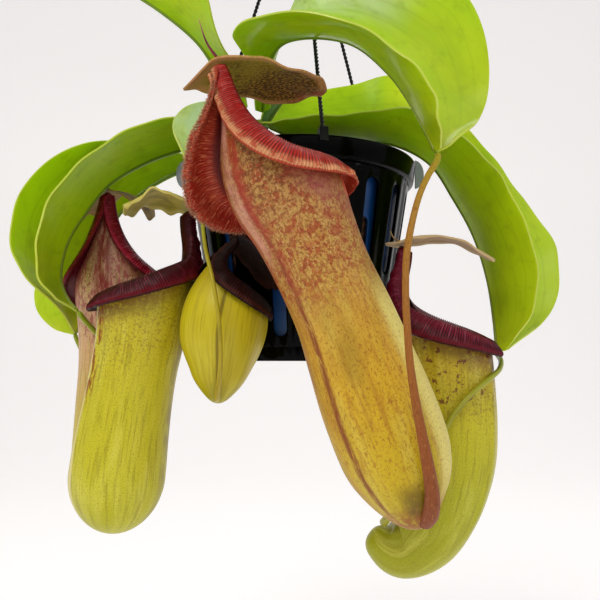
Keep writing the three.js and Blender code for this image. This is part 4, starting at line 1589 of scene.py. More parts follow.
    def build_fuzz(self) -> None:
        """Builds the short stiff hairs along the wide flank of the lip."""
        draw = Random(5)
        bm = bmesh.new()
        for name in ("skin", "run", "edge"):
            bm.loops.layers.uv.new(name)
        for k in range(self.HAIRS):
            edge, out, rise, angle = self.lip_frame(self.edge_share(draw.uniform(0.53, 0.97)))
            outline = self.section(angle, 0, 0)
            v = draw.uniform(0.46, 0.54) if k % 2 else draw.uniform(0.5, 0.72)
            spot = outline.point(v)
            root = edge + out * spot.x + rise * spot.z
            lean = out * draw.uniform(0.5, 1.2) - rise * draw.uniform(0.1, 0.9)
            run = out.cross(rise)
            ahead = (lean + run * draw.uniform(-0.4, 0.4)).normalized()
            length = self.fuzz * draw.uniform(0.5, 1.2)
            turn = ahead.to_track_quat("Z", "Y").to_matrix().to_4x4()
            move = Matrix.Translation(metres(root + ahead * length * 0.42))
            bmesh.ops.create_cone(bm, segments=3, radius1=0.16 * MM, radius2=0.03 * MM,
                                  depth=length * MM, cap_ends=True, matrix=move @ turn)
        self.part("lip", "lip_hairs", bm, HAIR)

    def build(self) -> None:
        """Builds every piece of the pitcher."""
        self.build_cup()
        self.build_lip()
        self.build_lid()
        if self.fuzz:
            self.build_fuzz()


# ---- the plant's skins
# Stems and tendrils grow smooth and waxy: satin, darker in fine streaks along them.
STEM_SKIN = Skin("grown_stem_skin", ((0, 0x6F7A22), (0.5, 0x7F9A22), (1, 0x8BA81C)), (
    Patch(0x4A3A16, size=3, cover=(0.5, 0.7), stretch=3, strength=0.7),),
    roughness=0.5, gloss=0.1, grain=1.2, depth=0.15)
GREEN_TENDRIL = Skin("green_tendril_skin", ((0, 0x8CA00C), (0.4, 0x9A9A18), (1, 0xA09A20)), (
    Patch(0x5B5E10, size=2, cover=(0.45, 0.7), stretch=9, strength=0.6),
    Patch(0xB9B04A, size=1.6, cover=(0.55, 0.75), stretch=8, strength=0.5)),
    roughness=0.42, gloss=0.1)
# The main tendril is velvety: fine rust hairs that catch the light at its edges.
VELVET_TENDRIL = Skin("velvet_tendril_skin", (
    (0, 0x9A9A0E), (0.06, 0xAA8C20), (0.2, 0xA87A2C), (0.5, 0x9C6222), (0.75, 0x905024),
    (1, 0x80401E)), (
    Patch(0x6A2C0C, size=0.8, cover=(0.5, 0.66), stretch=3, strength=0.5),
    Patch(0xCC9450, size=0.7, cover=(0.56, 0.7), stretch=2, strength=0.4)),
    roughness=0.62, grain=0.5, depth=0.12, sheen=0.03, specular=0.3)
# The small pitcher's tendril lies on it and has its yellow.
YELLOW_TENDRIL = Skin("yellow_tendril_skin", ((0, 0x8CA00C), (0.3, 0xA89C14), (1, 0xB09A14)), (
    Patch(0x7A6A0C, size=1.2, cover=(0.5, 0.7), stretch=9, strength=0.6),), roughness=0.42)
# Stiff hairs dry to straw at their tips, over the flesh's own red.
HAIR = Skin("stiff_hair", ((0, 0xD08A6C), (0.5, 0xD89A7C), (1, 0xE0B498)), roughness=0.55)
# A spur is bare and tough, like a thorn.
SPUR_RED = Skin("spur_magenta", ((0, 0x8A2030), (0.6, 0x6E0E28), (1, 0xB08C5A)), (
    Patch(0x3A0614, size=1.5, cover=(0.5, 0.65), stretch=3, strength=0.6),),
    roughness=0.4, gloss=0.1)
SPUR_TAN = Skin("spur_tan", ((0, 0x8A5A2A), (1, 0xA88A4A)), (
    Patch(0x4A2A10, size=1.5, cover=(0.5, 0.65), stretch=3, strength=0.6),), roughness=0.5)


@dataclass(frozen=True)
class LipTones:
    """Colours of a lip: crest, outer slope, margin, underside, the painted shade of its grooves and
    the painted highlight on its rib tops.
    """

    crest: int
    outer: int
    margin: int
    under: int
    groove_shade: int
    rib_highlight: int


def lip_skin(name: str, tones: LipTones, extra: tuple[Patch, ...] = (), gloss: float = 0.04,
             roughness: float = 0.38) -> Skin:
    """Returns a ribbed lip, glossy over its crest.

    Args:
        name: the finish's name.
        tones: its colours.
        extra: patches of this lip alone.
        gloss: weight of the wet coat.
        roughness: of the skin.

    Returns:
        The finish.
    """
    ramp = ((0.0, tones.crest), (0.34, tones.crest), (0.43, tones.outer), (0.475, tones.margin),
            (0.52, tones.margin), (0.56, tones.under), (1.0, tones.under))
    ribs = (
        # Ribs cross the lip some 1.15 mm apart: painted shade darkens the grooves between them, and
        # a painted highlight lies along their tops.
        Patch(tones.rib_highlight, size=0.8, cover=(0.5, 0.62), stretch=6, strength=0.3,
              along=(0.1, 0.2, 0.4, 0.5)),
        Patch(tones.groove_shade, size=3, cover=(0.25, 0.5), lines=1, line_axis=Axis.RIB,
              width=0.36, along=(-0.1, 0.02, 0.44, 0.49), strength=0.95, relief=-0.15),
        Patch(tones.groove_shade, lines=1, line_axis=Axis.RIB, width=0.26,
              along=(0.44, 0.49, 0.9, 1), strength=0.4, relief=-0.1),
    )
    return Skin(name, ramp, (*extra, *ribs), roughness=roughness, gloss=gloss, grain=0.6,
                depth=0.03, glow=0.03, specular=0.2)


# A grown cup, waxy but matt: amber at its foot and copper at its mouth, washed with cream and red,
# and stippled so finely that its colour looks broken from a step away. Painted shadow darkens it
# under the lip, and a painted highlight and a painted sheen lighten its right side.
MAIN_BODY = Skin("main_pitcher_skin", (
    (0, 0xA89810), (0.12, 0xC8AC18), (0.3, 0xD0A41E), (0.42, 0xCA9C30), (0.55, 0xC29848),
    (0.68, 0xBA8E4C), (0.85, 0xA67A3C), (1, 0x8E6034)), (
    Patch(0xE0CE5C, size=9, cover=(0.42, 0.7), stretch=5, strength=0.55,
          along=(0, 0.05, 0.4, 0.6)),
    Patch(0xA86A1C, size=1.4, cover=(0.48, 0.66), stretch=9, strength=0.5,
          along=(0.03, 0.16, 0.6, 0.72)),
    Patch(0x94480F, size=0.7, cover=(0.55, 0.64), stretch=2.5, strength=0.55,
          along=(0.03, 0.2, 0.6, 0.72)),
    Patch(0x8A6C10, size=14, cover=(0.45, 0.7), stretch=3, strength=0.5,
          along=(0, 0.08, 0.5, 0.62)),
    Patch(0x8E3418, size=3, cover=(0.3, 0.55), stretch=0.7, strength=0.75,
          along=(-0.1, 0.0, 0.03, 0.075)),
    Patch(0x9A4E1C, size=4, cover=(0.4, 0.6), stretch=10, strength=0.45,
          turn=(0, 0.1, 0.3, 0.4), along=(0.02, 0.12, 0.6, 0.75)),
    # A dark red seam runs down the side, soft edged and broken into grains.
    Patch(0x7A2612, size=1.2, cover=(0.3, 0.52), stretch=6, strength=0.85,
          turn=(-0.01, 0.02, 0.035, 0.065), along=(0.02, 0.08, 0.62, 0.75)),
    Patch(0xAE5428, size=5, cover=(0.5, 0.62), strength=0.5, along=(0.44, 0.56, 0.74, 0.84)),
    Patch(0x9C3A1C, size=2.6, cover=(0.52, 0.57), strength=0.75, along=(0.44, 0.56, 0.8, 0.88)),
    Patch(0x5A2C10, size=0.7, cover=(0.53, 0.62), strength=0.6, along=(0.42, 0.6)),
    # Right of the tendril the wall is painted pale cream, a painted highlight down its lit side.
    Patch(0xE8DA7C, size=12, cover=(0.2, 0.5), stretch=3, strength=0.75,
          turn=(-0.95, -0.8, -0.52, -0.42), along=(0.04, 0.12, 0.42, 0.52)),
    Patch(0x8A3A20, size=1, cover=(0.5, 0.58), stretch=1.5, strength=0.6, along=(0.42, 0.58)),
    Patch(0x6E3A18, size=1.3, cover=(0.48, 0.57), strength=0.75, along=(0.64, 0.74)),
    Patch(0xD8B070, size=0.9, cover=(0.55, 0.66), stretch=1.6, strength=0.45, along=(0.4, 0.56)),
    # A pink patch by the lip on the right side is a painted sheen.
    Patch(0xA8504C, size=14, cover=(0.35, 0.6), stretch=1.5, strength=0.55,
          edge=(-2, 1, 14, 30), turn=(-0.9, -0.7, -0.35, -0.2)),
    # Painted shadow under the lip, dark red.
    Patch(0x8A1A14, size=8, cover=(0.3, 0.6), strength=0.75,
          edge=(-3, -1, 3, 9), turn=(-0.8, -0.7, 0.1, 0.2)),
    Patch(0xE0A08C, size=6, cover=(0.3, 0.6), stretch=4, strength=0.75,
          turn=(0.02, 0.07, 0.13, 0.18), along=(0.55, 0.66, 0.9, 1)),
    Patch(0xA02C22, size=5, cover=(0.35, 0.6), stretch=4, strength=0.8,
          turn=(-0.06, -0.02, 0.02, 0.06), along=(0.5, 0.64, 0.86, 0.95)),
    Patch(0xA83226, size=5, cover=(0.35, 0.6), stretch=4, strength=0.85,
          turn=(0.14, 0.2, 0.36, 0.5), along=(0.45, 0.62)),
    # Painted shadow under the left flank of the lip.
    Patch(0x5E0E0C, strength=0.85, edge=(-3, -1, 2.5, 7), turn=(0.05, 0.12, 0.7, 0.8)),
    # Where the two flanks of the lip meet, a patch of coral down runs onto the cup.
    Patch(0xDC5A44, size=1.6, cover=(0.15, 0.4), strength=0.95,
          edge=(-4, -1, 9, 13), turn=(-0.88, -0.8, -0.66, -0.6)),
    Patch(0x4A2E0C, size=5, cover=(0.3, 0.5), strength=0.6,
          along=(0.03, 0.05, 0.08, 0.12), turn=(-0.5, -0.4, -0.2, -0.1)),
    Patch(0x6E3C0E, size=0.5, cover=(0.53, 0.64), stretch=1.5, strength=0.4),
), roughness=0.48, grain=0.5, depth=0.12, glow=0.03, specular=0.35)


def main_parts() -> tuple[Skin, Skin]:
    """Dresses the main pitcher's lip and lid.

    Returns:
        The finishes of the lip and of the lid.
    """
    flap = (0.0, 0.1)
    lip = lip_skin("main_lip_ribbed",
                   LipTones(0xA8160C, 0xB42818, 0xE0A070, 0xB0422A, 0x460404, 0xE07060), (
        Patch(0xC04428, size=2.5, cover=(0.46, 0.6), strength=0.8,
              along=(0.4, 0.45, 0.5, 0.53), turn=(-1.1, -1, -0.05, 0)),
        Patch(0xB8482A, strength=0.9, along=(0.36, 0.42, 0.56, 0.64), turn=flap),
        Patch(0x9A1610, size=7, cover=(0.35, 0.6), strength=0.7,
              along=(0.5, 0.6, 0.9, 1), turn=(0.1, 0.28)),
        # Short hairs lie combed across the wide flank, salmon over the red.
        Patch(0x7E0E0A, size=0.5, cover=(0.48, 0.6), stretch=3, strength=0.6,
              along=(0.42, 0.5, 0.85, 0.95), turn=flap),
        Patch(0xDC7E58, size=0.45, cover=(0.52, 0.62), stretch=2.5, strength=0.7,
              along=(0.42, 0.5, 0.78, 0.84), turn=flap),
        Patch(0x4E0808, strength=0.9, along=(0.79, 0.84), turn=(0.02, 0.06)),
    ), gloss=0.05, roughness=0.45)
    # The lid is thin and leathery: matt, olive tan, dotted dark brown under a downy margin.
    lid = Skin("main_lid_skin", ((0, 0x8A5A2A), (0.12, 0x96802A), (0.5, 0x8A6420), (1, 0x8E5A2A)), (
        Patch(0xC09A38, size=0.9, strength=0.8),
        Patch(0x2E1806, size=1.2, cover=(0.45, 0.53), stretch=0.6, strength=0.9, edge=(2, 5)),
        Patch(0xA08E22, size=9, cover=(0.3, 0.6), strength=0.6, along=(-0.2, -0.1, 0.3, 0.5)),
        Patch(0xC08A5E, size=0.7, cover=(0.3, 0.6), strength=0.85, edge=(-2, -1, 1.5, 4)),
        Patch(0x94402A, size=3, cover=(0.4, 0.6), strength=0.7, along=(0.84, 0.92)),
    ), roughness=0.62, grain=0.7, depth=0.2, glow=0.03, specular=0.3)
    return lip, lid


def side_body(name: str, tones: tuple[tuple[float, int], ...], band: int,
              extra: tuple[Patch, ...] = ()) -> Skin:
    """Returns the yellow-green body of a smaller pitcher with a brown band at its mouth.

    Args:
        name: the finish's name.
        tones: base colours from the bottom up.
        band: colour of the band below the lip.
        extra: patches of this pitcher alone.

    Returns:
        The finish.
    """
    patches = (
        Patch(0xE2DC62, size=8, cover=(0.45, 0.7), stretch=5, strength=0.45),
        Patch(0x8E820C, size=1.2, cover=(0.48, 0.66), stretch=14, strength=0.5),
        Patch(0x6E5C0A, size=0.45, cover=(0.52, 0.64), strength=0.42),
        Patch(0x2A1C08, size=1.4, cover=(0.73, 0.76), strength=0.85),
        Patch(band, size=1.6, cover=(0.3, 0.5), strength=0.85, edge=(-3, 0, 4, 20)),
        Patch(0x8A6A1C, size=1, cover=(0.52, 0.6), strength=0.5, edge=(4, 10, 30, 60)),
    )
    return Skin(name, tones, (*patches, *extra), roughness=0.4, grain=0.6, depth=0.08,
                glow=0.03, specular=0.4)


def lid_skin(name: str, pale: int, deep: int, rim: int, specular: float = 0.25) -> Skin:
    """Returns a thin leathery lid: pale, dappled, with a lighter margin.

    Args:
        name: the finish's name.
        pale: its main colour.
        deep: colour of its root and dapples.
        rim: colour of its margin.
        specular: how strongly it mirrors.

    Returns:
        The finish.
    """
    return Skin(name, ((0, deep), (0.3, pale), (1, pale)), (
        Patch(deep, size=5, cover=(0.48, 0.66), stretch=2, strength=0.6),
        Patch(0x5A4414, size=1.4, cover=(0.6, 0.7), strength=0.4),
        Patch(rim, strength=0.6, edge=(-2, -1, 1.5, 4)),
    ), roughness=0.58, grain=1.2, depth=0.15, specular=specular)


# ---- the studio
@dataclass
class Studio:
    """A pale sweep, soft light and the camera at the photograph's viewing angle.

    Attributes:
        camera_back: from the pot's middle line to the camera, in m.
        camera_rise: how far the camera looks up, in degrees.
        focal_pixels: its focal length in pixels of the frame.
        frame_pixels: width of the frame in pixels.
        floor: height of the floor, in m from the hook.
        wall: how far back the sweep stands upright, in m.
        bend: radius of its bend.
        paper: length of the sweep.
        front: how far it reaches to the front.
        breadth: its width.
        paper_glow: how strongly it is lit from behind.
        sky: strength of the even light from all round.
    """

    camera_back: float = 0.45
    camera_rise: float = 5.0
    focal_pixels: float = 698.0
    frame_pixels: float = 600.0
    floor: float = -0.66
    wall: float = 2.2
    bend: float = 1.0
    paper: float = 7.8
    front: float = 2.4
    breadth: float = 8.0
    paper_glow: float = 0.28
    sky: float = 0.55

    def build_sweep(self) -> None:
        """Builds the floor that curves up into the backdrop."""
        def place(u: float, v: float) -> Vector:
            """Finds a corner of the sweep.

            Args:
                u: share of the way across.
                v: share of the way from the front edge to the top.

            Returns:
                The point in mm.
            """
            run = v * self.paper - self.front
            bend = self.bend
            straight = self.wall - bend
            if run < straight:
                y, z = run, 0.0
            elif run < straight + bend * math.pi / 2:
                turn = (run - straight) / bend
                y, z = straight + bend * math.sin(turn), bend * (1 - math.cos(turn))
            else:
                y, z = self.wall, bend + run - straight - bend * math.pi / 2
            x = (u - 0.5) * self.breadth
            return Vector((x / MM, y / MM, (z + self.floor) / MM + HANG_HEIGHT))

        paper = bpy.data.materials.new("backdrop_paper")
        paper.use_nodes = True
        shader = paper.node_tree.nodes["Principled BSDF"]
        # Light that comes through the paper from behind keeps it evenly pale.
        for socket, value in (
            ("Base Color", linear(0xEFECEA)), ("Roughness", 0.9), ("Specular IOR Level", 0.1),
            ("Emission Color", linear(0xF4F3F4)), ("Emission Strength", self.paper_glow),
        ):
            shader.inputs[socket].default_value = value
        as_object("studio_sweep", bent_grid(2, 80, place, {}), paper)

    def build_light(self, name: str, spot: Point, aim: Point, size: float, power: float,
                    tint: int) -> None:
        """Adds a soft square light.

        Args:
            name: its name.
            spot: where it hangs, in m.
            aim: what it points at, in m.
            size: its side in m.
            power: in watts.
            tint: its colour, sRGB hex.
        """
        lamp = bpy.data.lights.new(name, "AREA")
        lamp.size = size
        lamp.energy = power
        lamp.color = linear(tint)[:3]
        made = bpy.data.objects.new(name, lamp)
        made.location = spot
        made.rotation_euler = (Vector(aim) - Vector(spot)).to_track_quat("-Z", "Y").to_euler()
        bpy.context.collection.objects.link(made)

    def build(self) -> None:
        """Builds the sweep, the lights, the pale surroundings and the camera."""
        self.build_sweep()
        middle = (0.0, -0.05, -0.3)
        self.build_light("key_softbox", (-0.7, -1.3, 0.9), middle, 0.7, 13, 0xFFFBF2)
        self.build_light("top_softbox", (0.3, 0.5, 1.2), middle, 1.0, 8, 0xFFFFFF)
        self.build_light("side_fill", (1.4, -0.9, 0.1), middle, 0.5, 3, 0xF4F8FF)
        world = bpy.data.worlds.new("studio_surroundings")
        world.use_nodes = True
        sky = world.node_tree.nodes["Background"]
        sky.inputs["Color"].default_value = linear(0xF4F4F6)
        sky.inputs["Strength"].default_value = self.sky
        scene = bpy.context.scene
        scene.world = world
        scene.view_settings.view_transform = "Standard"
        data = bpy.data.cameras.new("photo_view")
        data.sensor_width = 36.0
        data.lens = 36.0 * self.focal_pixels / self.frame_pixels
        camera = bpy.data.objects.new("photo_view", data)
        camera.location = (0, -self.camera_back, -HANG_HEIGHT * MM)
        camera.rotation_euler = (math.radians(90 + self.camera_rise), 0, 0)
        bpy.context.collection.objects.link(camera)
        scene.camera = camera


# ---- this plant
def plant_leaves() -> list[Leaf]:
    """Lists the plant's leaves.

    Returns:
        The seven, the large ones first.
    """
    lime = leaf_skin("waxy_leaf_lime", LEAF_LIME)
    return [
        Leaf("leaf_upper_right", (
            ((-29, -10, 162), (-25, -6, 162), (-20, -3, 166)),
            ((-31, -30, 182), (-21, -22, 182), (-16, -16, 188)),
            ((-39, -62, 189), (-13, -42, 190), (-7, -34, 214)),
            ((-21, -88, 186), (3, -58, 188), (7, -52, 231)),
            ((23, -108, 173), (28, -72, 178), (44, -58, 234)),
            ((50, -126, 147), (47, -90, 153), (93, -66, 211)),
            ((62, -132, 126), (57, -104, 130), (104, -78, 165)),
            ((67, -128, 111), (63, -113, 112), (94, -98, 127)),
            ((68, -121, 102), (66, -118, 101), (74, -114, 106))),
            leaf_skin("waxy_leaf_bright", LEAF_BRIGHT, (
                # A whitish patch near the top of the blade is a painted reflection.
                Patch(0xD8E2C8, size=20, cover=(0.35, 0.6), stretch=2, strength=0.5,
                      turn=(0.2, 0.5), along=(0.2, 0.3, 0.5, 0.6)),
            ), gloss=0.3)),
        Leaf("leaf_right", (
            ((-25, -4, 156), (-22, 0, 155), (-19, 4, 160)),
            ((-3, -14, 155), (0, 8, 149), (-7, 16, 180)),
            ((28, -26, 154), (31, 12, 149), (32, 24, 192)),
            ((60, -34, 154), (60, 6, 145), (70, 22, 197)),
            ((84, -44, 145), (84, -4, 129), (103, 16, 170)),
            ((103, -56, 120), (98, -14, 102), (128, 10, 138)),
            ((118, -66, 95), (108, -22, 77), (149, 6, 107)),
            ((130, -66, 61), (114, -29, 49), (167, 2, 72)),
            ((132, -56, 28), (116, -34, 23), (162, -8, 35)),
            ((120, -42, 6), (116, -38, 5), (124, -34, 7))),
            leaf_skin("waxy_leaf_right", LEAF_LIME, (
                Patch(0xE6EC30, size=24, cover=(0.3, 0.6), strength=0.7,
                      turn=(0.1, 0.4), along=(0.25, 0.35, 0.45, 0.55)),
                Patch(0xB4C848, strength=0.4, turn=(0, 0.2), along=(0.5, 0.6)),
            ))),
        Leaf("leaf_front_left", (
            ((-38, -10, 158), (-36, -6, 156), (-36, 0, 160)),
            ((-56, -14, 155), (-56, 2, 149), (-58, 12, 162)),
            ((-76, -22, 153), (-75, 8, 143), (-80, 20, 165)),
            ((-100, -38, 141), (-99, -6, 129), (-109, 12, 154)),
            ((-120, -56, 121), (-119, -22, 110), (-132, 0, 133)),
            ((-134, -70, 96), (-129, -36, 89), (-151, -4, 108)),
            ((-141, -80, 70), (-136, -48, 67), (-157, -16, 79)),
            ((-140, -82, 49), (-136, -56, 46), (-155, -28, 56)),
            ((-133, -74, 35), (-130, -60, 34), (-139, -48, 37)),
            ((-124, -64, 28), (-123, -63, 27), (-124, -62, 28))), lime),
        Leaf("leaf_back_left", (
            ((-38, 4, 159), (-37, 8, 158), (-36, 10, 161)),
            ((-55, 28, 152), (-55, 32, 147), (-57, 36, 156)),
            ((-79, 37, 147), (-76, 43, 140), (-78, 48, 150)),
            ((-110, 26, 151), (-98, 44, 131), (-108, 52, 151)),
            ((-143, 4, 145), (-122, 40, 112), (-142, 56, 142)),
            ((-167, -12, 123), (-137, 36, 87), (-167, 60, 118)),
            ((-178, -22, 94), (-143, 32, 63), (-182, 56, 88)),
            ((-178, -24, 67), (-145, 29, 45), (-188, 48, 58)),
            ((-168, -16, 49), (-146, 24, 32), (-184, 36, 37)),
            ((-158, 0, 36), (-149, 22, 24), (-168, 27, 22)),
            ((-152, 20, 19), (-152, 22, 18), (-153, 23, 18))),
            leaf_skin("waxy_leaf_back", LEAF_LIME, (
                # A whitish patch near its top is a painted reflection.
                Patch(0xD8E4DC, size=16, cover=(0.35, 0.6), stretch=2, strength=0.6,
                      turn=(0, 0.1), along=(0.16, 0.22, 0.3, 0.4)),
            ), gloss=0.25)),
        Leaf("leaf_upper_left", (
            ((-34, -13, 163), (-36, -10, 162), (-38, -6, 165)),
            ((-36, -20, 173), (-44, -14, 173), (-39, -8, 178)),
            ((-40, -38, 182), (-53, -24, 184), (-45, -12, 192)),
            ((-49, -58, 189), (-63, -34, 196), (-58, -14, 209)),
            ((-52, -74, 202), (-79, -44, 207), (-68, -14, 228)),
            ((-60, -84, 219), (-98, -52, 217), (-85, -14, 253)),
            ((-82, -88, 232), (-119, -58, 225), (-112, -18, 270)),
            ((-112, -82, 238), (-136, -62, 228), (-136, -32, 265)),
            ((-139, -70, 235), (-148, -65, 226), (-148, -54, 243)),
            ((-153, -67, 224), (-155, -66, 223), (-155, -64, 226))), lime),
        Leaf("leaf_front_small", (
            ((-34, -10, 158), (-32, -14, 155), (-30, -20, 153)),
            ((-53, -30, 160), (-45, -40, 150), (-38, -50, 143)),
            ((-70, -50, 147), (-54, -62, 137), (-44, -70, 129)),
            ((-72, -66, 133), (-57, -76, 120), (-48, -80, 114)),
            ((-64, -82, 113), (-55, -86, 104), (-50, -88, 101)),
            ((-54, -92, 93), (-52, -93, 89), (-51, -94, 88))),
            leaf_skin("waxy_leaf_small", ((0, 0xA6C878), (0.5, 0xBAD6A0), (1, 0x9CC040))),
            wave=0.5),
        Leaf("leaf_inner", (
            ((-28, 10, 156), (-26, 12, 156), (-23, 14, 157)),
            ((-25, 4, 166), (-19, 14, 168), (-11, 20, 169)),
            ((-21, 0, 175), (-11, 18, 181), (-3, 28, 182)),
            ((-13, 2, 187), (-3, 20, 192), (3, 30, 193)),
            ((-1, 12, 197), (3, 22, 198), (4, 24, 198))),
            # Its darker greens are painted shade: the leaf sits in the shade of the crown.
            leaf_skin("waxy_leaf_painted_shade", ((0, 0x4F7D12), (0.5, 0x5A8A18), (1, 0x6A9A20))),
            slot="leaf_dark", wave=0.3),
    ]


def plant_stalks() -> list[Stalk]:
    """Lists the plant's stalks.

    Returns:
        The stem and the five tendrils.
    """
    thin = (1.5, 1.4, 1.5, 1.8, 2.3)
    return [
        Stalk("plant_stem", ((-16, 6, 84), (-20, 5, 110), (-26, 3, 136), (-30, 0, 158)),
              (6.5, 7, 7.5, 5), STEM_SKIN, "stem_green"),
        Stalk("tendril_main", (
            (67, -118.5, 101), (66.4, -120, 97), (61, -124, 88), (55, -130, 75), (48, -141, 50),
            (46, -148, 35), (45.4, -152, 24), (45.4, -155, 13), (46, -156.5, 0),
            (48, -157, -16), (51, -156, -32), (54, -152.5, -46), (56.5, -146, -58),
            (57, -137, -67), (56, -130, -71)),
            (1.6, 1.5, 1.6, 1.55, 1.65, 2.1, 3, 4.1), VELVET_TENDRIL, "tendril_brown"),
        Stalk("tendril_left", (
            (-123.3, -63.4, 28), (-122.2, -62.5, 25.6), (-117, -49, 16), (-107, -40, 3),
            (-97, -35, -22), (-95, -36, -55), (-97, -39, -76), (-100, -48, -86),
            (-101, -55, -89)), thin, GREEN_TENDRIL, "tendril_green"),
        Stalk("tendril_back", (
            (-152, 22, 19), (-151.6, 22.4, 16.2), (-146, 26, 1), (-143, 30, -16),
            (-138, 32, -47), (-133, 33, -76), (-128, 26, -95), (-122, 10, -102),
            (-120, 4, -103)), thin, GREEN_TENDRIL, "tendril_green"),
        Stalk("tendril_small", (
            (-52, -93, 90), (-52, -93, 87.2), (-51, -92, 75), (-48, -101, 58), (-42, -112, 37),
            (-39, -112, 17), (-39, -107, -2), (-42, -94, -18), (-43, -88, -20)),
            (1.1, 1.0, 1.0, 1.1, 1.5), YELLOW_TENDRIL, "tendril_green"),
        Stalk("tendril_right", (
            (116, -38.5, 6), (115.6, -39.6, 4.4), (113, -56, 0), (107, -72, -5), (98, -83, -10),
            (88, -88.4, -17), (78, -88.6, -28), (72, -87.6, -40), (65, -85, -57),
            (54, -82, -72), (47, -78, -80), (44, -70, -86)), thin, GREEN_TENDRIL,
            "tendril_green"),
    ]


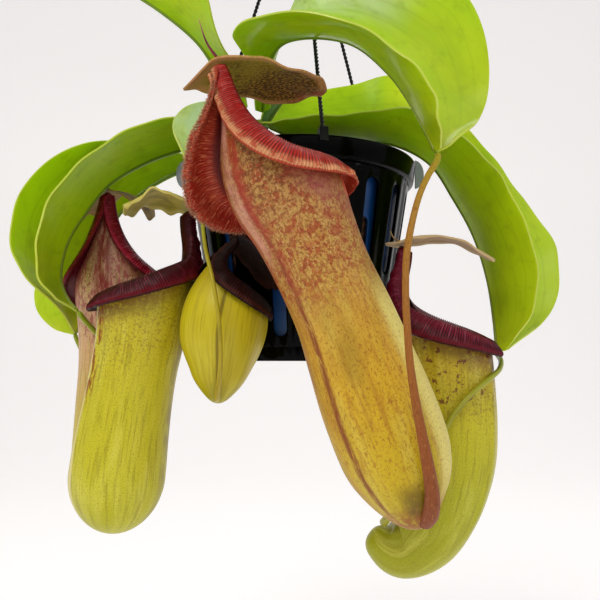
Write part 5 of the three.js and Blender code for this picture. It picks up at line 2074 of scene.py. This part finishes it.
def plant_pitchers() -> list[Pitcher]:
    """Lists the plant's pitchers.

    Returns:
        The five, the main one first.
    """
    main_lip, main_lid = main_parts()
    yellow = ((0, 0xB0AE14), (0.2, 0xC8C020), (0.5, 0xC8BC20), (0.75, 0xBEAC1E), (1, 0x8A7414))
    return [
        Pitcher(
            "main",
            ((55, -124, -76), (51, -124, -64), (47, -124, -51), (41, -124, -34),
             (35, -124, -18), (28, -124, 1), (21, -124, 20), (11, -124, 42), (0, -124, 67),
             (-10, -124, 88), (-18, -124, 110), (-28, -124, 138)),
            radii=(19, 24, 26, 26, 24.5, 23, 22.5, 24, 27, 25, 19, 14), front=(0.67, 0.74),
            level=(0.695, 0.05, 0.05), narrow=(0.5, 0.7), flanks=(6.6, 20), fall=(7.2, 7),
            swell=(0.9, 0.4), taper=0.9, tail=(0.65, 0.1), fuzz=2.2, scallop=0.45,
            cap=Cap(length=73, width=48, rise=3, arch=0, droop=2, back=3, lobe=17, ripple=1.0),
            spur=(-8, -6, 18), body=MAIN_BODY, mouth=main_lip, lid=main_lid, barb=SPUR_RED),
        Pitcher(
            "left",
            ((-101, -65, -92), (-100, -65, -77), (-99, -65, -63), (-97, -65, -45),
             (-94, -65, -24), (-91, -65, -5), (-88, -65, 12), (-85, -65, 35), (-83, -65, 53),
             (-80, -65, 70), (-77, -65, 84)),
            radii=(25, 25.5, 25.5, 24.5, 23.5, 23.2, 24, 26, 26, 21, 15),
            front=(-0.97, -0.2), level=(0.68, 0.15, 0.08), narrow=(0.3, 0.3), flanks=(8, 8),
            fall=(5, 5), spur=(6, 3, 10), barb=SPUR_TAN,
            cap=Cap(length=42, width=44, rise=32, arch=36, droop=4, back=5, ripple=2.0),
            body=side_body("left_pitcher_skin", yellow, 0x7A4A18, (
                Patch(0x5E3A10, size=10, cover=(0.3, 0.6), strength=0.5,
                      turn=(-0.2, -0.1, 0.1, 0.2)),
                # The two wings down the front are cream, with dashes of dried red.
                Patch(0xE6D69A, strength=0.7, turn=(0.84, 0.87, 0.9, 0.94)),
                Patch(0x8A2A14, size=1.5, cover=(0.48, 0.54), stretch=4, strength=0.85,
                      turn=(0.78, 0.82, 0.85, 0.88), along=(0.35, 0.45)))),
            mouth=lip_skin("left_lip_ribbed",
                     LipTones(0x44040A, 0x560616, 0x660A18, 0x300608, 0x120103, 0x9A3A50)),
            lid=lid_skin("left_lid_skin", pale=0xBFAA3A, deep=0x7A7430, rim=0xD8CC78)),
        Pitcher(
            "back",
            ((-119, -2, -106), (-117, -2, -85), (-115, -2, -56), (-114, -2, -25),
             (-114, -2, 7), (-116, -2, 38), (-118, -2, 64), (-120, -1, 87), (-121, 0, 102)),
            radii=(25, 27.5, 28, 27.5, 26.5, 26.5, 27, 21, 14), front=(0.1, 0.99),
            level=(0.68, 0.08, 0.08), narrow=(0.42, 0.42), flanks=(9, 9), fall=(5, 5),
            cap=Cap(length=44, width=48, rise=10, arch=4, droop=18, back=2, ripple=2.0),
            spur=(2, 3, 8), barb=SPUR_TAN,
            body=side_body("back_pitcher_skin", (
                (0, 0xB4AC14), (0.3, 0xC8B43C), (0.5, 0xD2A870), (0.66, 0xDEA88C), (1, 0xC88A74)),
                0xA04A3C, (
                Patch(0xA03A40, size=1.2, cover=(0.5, 0.58), stretch=2.5, strength=0.7,
                      along=(0.5, 0.62)),
                Patch(0x8A1E24, size=1.2, cover=(0.35, 0.55), stretch=8, strength=0.85,
                      turn=(-0.09, -0.02, 0.02, 0.09), along=(0.55, 0.7)),)),
            mouth=lip_skin("back_lip_ribbed",
                     LipTones(0x86061E, 0x920A24, 0xA41E36, 0x5E0814, 0x36040C, 0xD06A84)),
            lid=lid_skin("back_lid_skin", pale=0x94703C, deep=0x5A3C1C, rim=0xB8965C)),
        Pitcher(
            "small",
            ((-43, -83, -22), (-42, -83, -5), (-41, -83, 16), (-37, -82, 37), (-33, -80, 50),
             (-30, -76, 59)),
            radii=(9, 15.5, 21.5, 21.5, 16, 8), front=(0.85, 0.5), level=(0.62, 0.12, 0.14),
            narrow=(0.4, 0.4), flanks=(5.2, 3), fall=(4, 2),
            cap=Cap(length=26, width=28, rise=-14, arch=14, droop=3, back=2, ripple=0.8),
            spur=(-3, -2, 5), barb=SPUR_TAN,
            body=Skin("small_pitcher_skin", (
                (0, 0x98900C), (0.15, 0xB8A812), (0.6, 0xC8B818), (0.9, 0xA88C10), (1, 0x4A300E)), (
                Patch(0xD6C93C, size=7, cover=(0.45, 0.7), stretch=4, strength=0.5),
                Patch(0x94820A, size=1, cover=(0.5, 0.66), stretch=18, strength=0.5),
                Patch(0x3A2A0A, size=1.5, cover=(0.72, 0.76), strength=0.8),
                Patch(0x4A300E, size=3, cover=(0.35, 0.6), strength=0.8, edge=(-3, 0, 2, 8)),
                Patch(0x6A5408, strength=0.75, turn=(-0.36, -0.345, -0.335, -0.32)),
            ), roughness=0.38, grain=0.6, glow=0.03, specular=0.4),
            mouth=lip_skin("small_lip_ribbed",
                     LipTones(0x240A08, 0x260A08, 0x441A12, 0x1E0804, 0x0C0303, 0x4A2018),
                     gloss=0.0, roughness=0.5),
            lid=lid_skin("small_lid_skin", pale=0x240C08, deep=0x160604, rim=0x3A1A12,
                         specular=0.08)),
        Pitcher(
            "right",
            ((40, -60, -91), (45, -60, -97), (55, -60, -100), (67, -60, -92), (75, -60, -78),
             (80, -60, -60), (82, -60, -38), (82, -60, -16), (81, -60, 6), (78, -60, 29),
             (75, -60, 48), (72, -60, 64)),
            radii=(17, 19, 21.5, 24, 26, 26, 25.5, 25, 25, 22, 14), front=(0.95, -0.3),
            level=(0.69, 0.14, 0.08), narrow=(0.34, 0.34), flanks=(8.5, 8.5), fall=(6, 6),
            cap=Cap(length=60, width=26, rise=20, arch=32.5, droop=1.5, back=9, ripple=0.8),
            spur=(-6, 2, 8), barb=SPUR_TAN,
            body=side_body("right_pitcher_skin", (
                (0, 0x9A9C08), (0.3, 0xB0B010), (0.5, 0xC4BA20), (0.65, 0xBEA624), (1, 0x94741A)),
                0x7A4A20, (Patch(0x6A3222, size=3, cover=(0.58, 0.61), strength=0.85,
                                 along=(0.5, 0.56, 0.8, 0.9)),)),
            mouth=lip_skin("right_lip_ribbed",
                     LipTones(0x780A28, 0x560616, 0x680E1E, 0x3A0806, 0x1C0206, 0xC05A74)),
            lid=lid_skin("right_lid_skin", pale=0xB8946A, deep=0x8A6438, rim=0xD8C090)),
    ]


def main() -> None:
    """Builds the studio and the plant, piece by piece."""
    logging.basicConfig(level=logging.INFO, format="%(message)s")
    Studio().build()
    pot = HangingPot()
    pot.build_outer()
    pot.build_liner()
    pot.build_bark()
    pot.build_ears()
    Hanger().build()
    for part in (*plant_stalks(), *plant_leaves(), *plant_pitchers()):
        part.build()


if __name__ == "__main__":
    main()
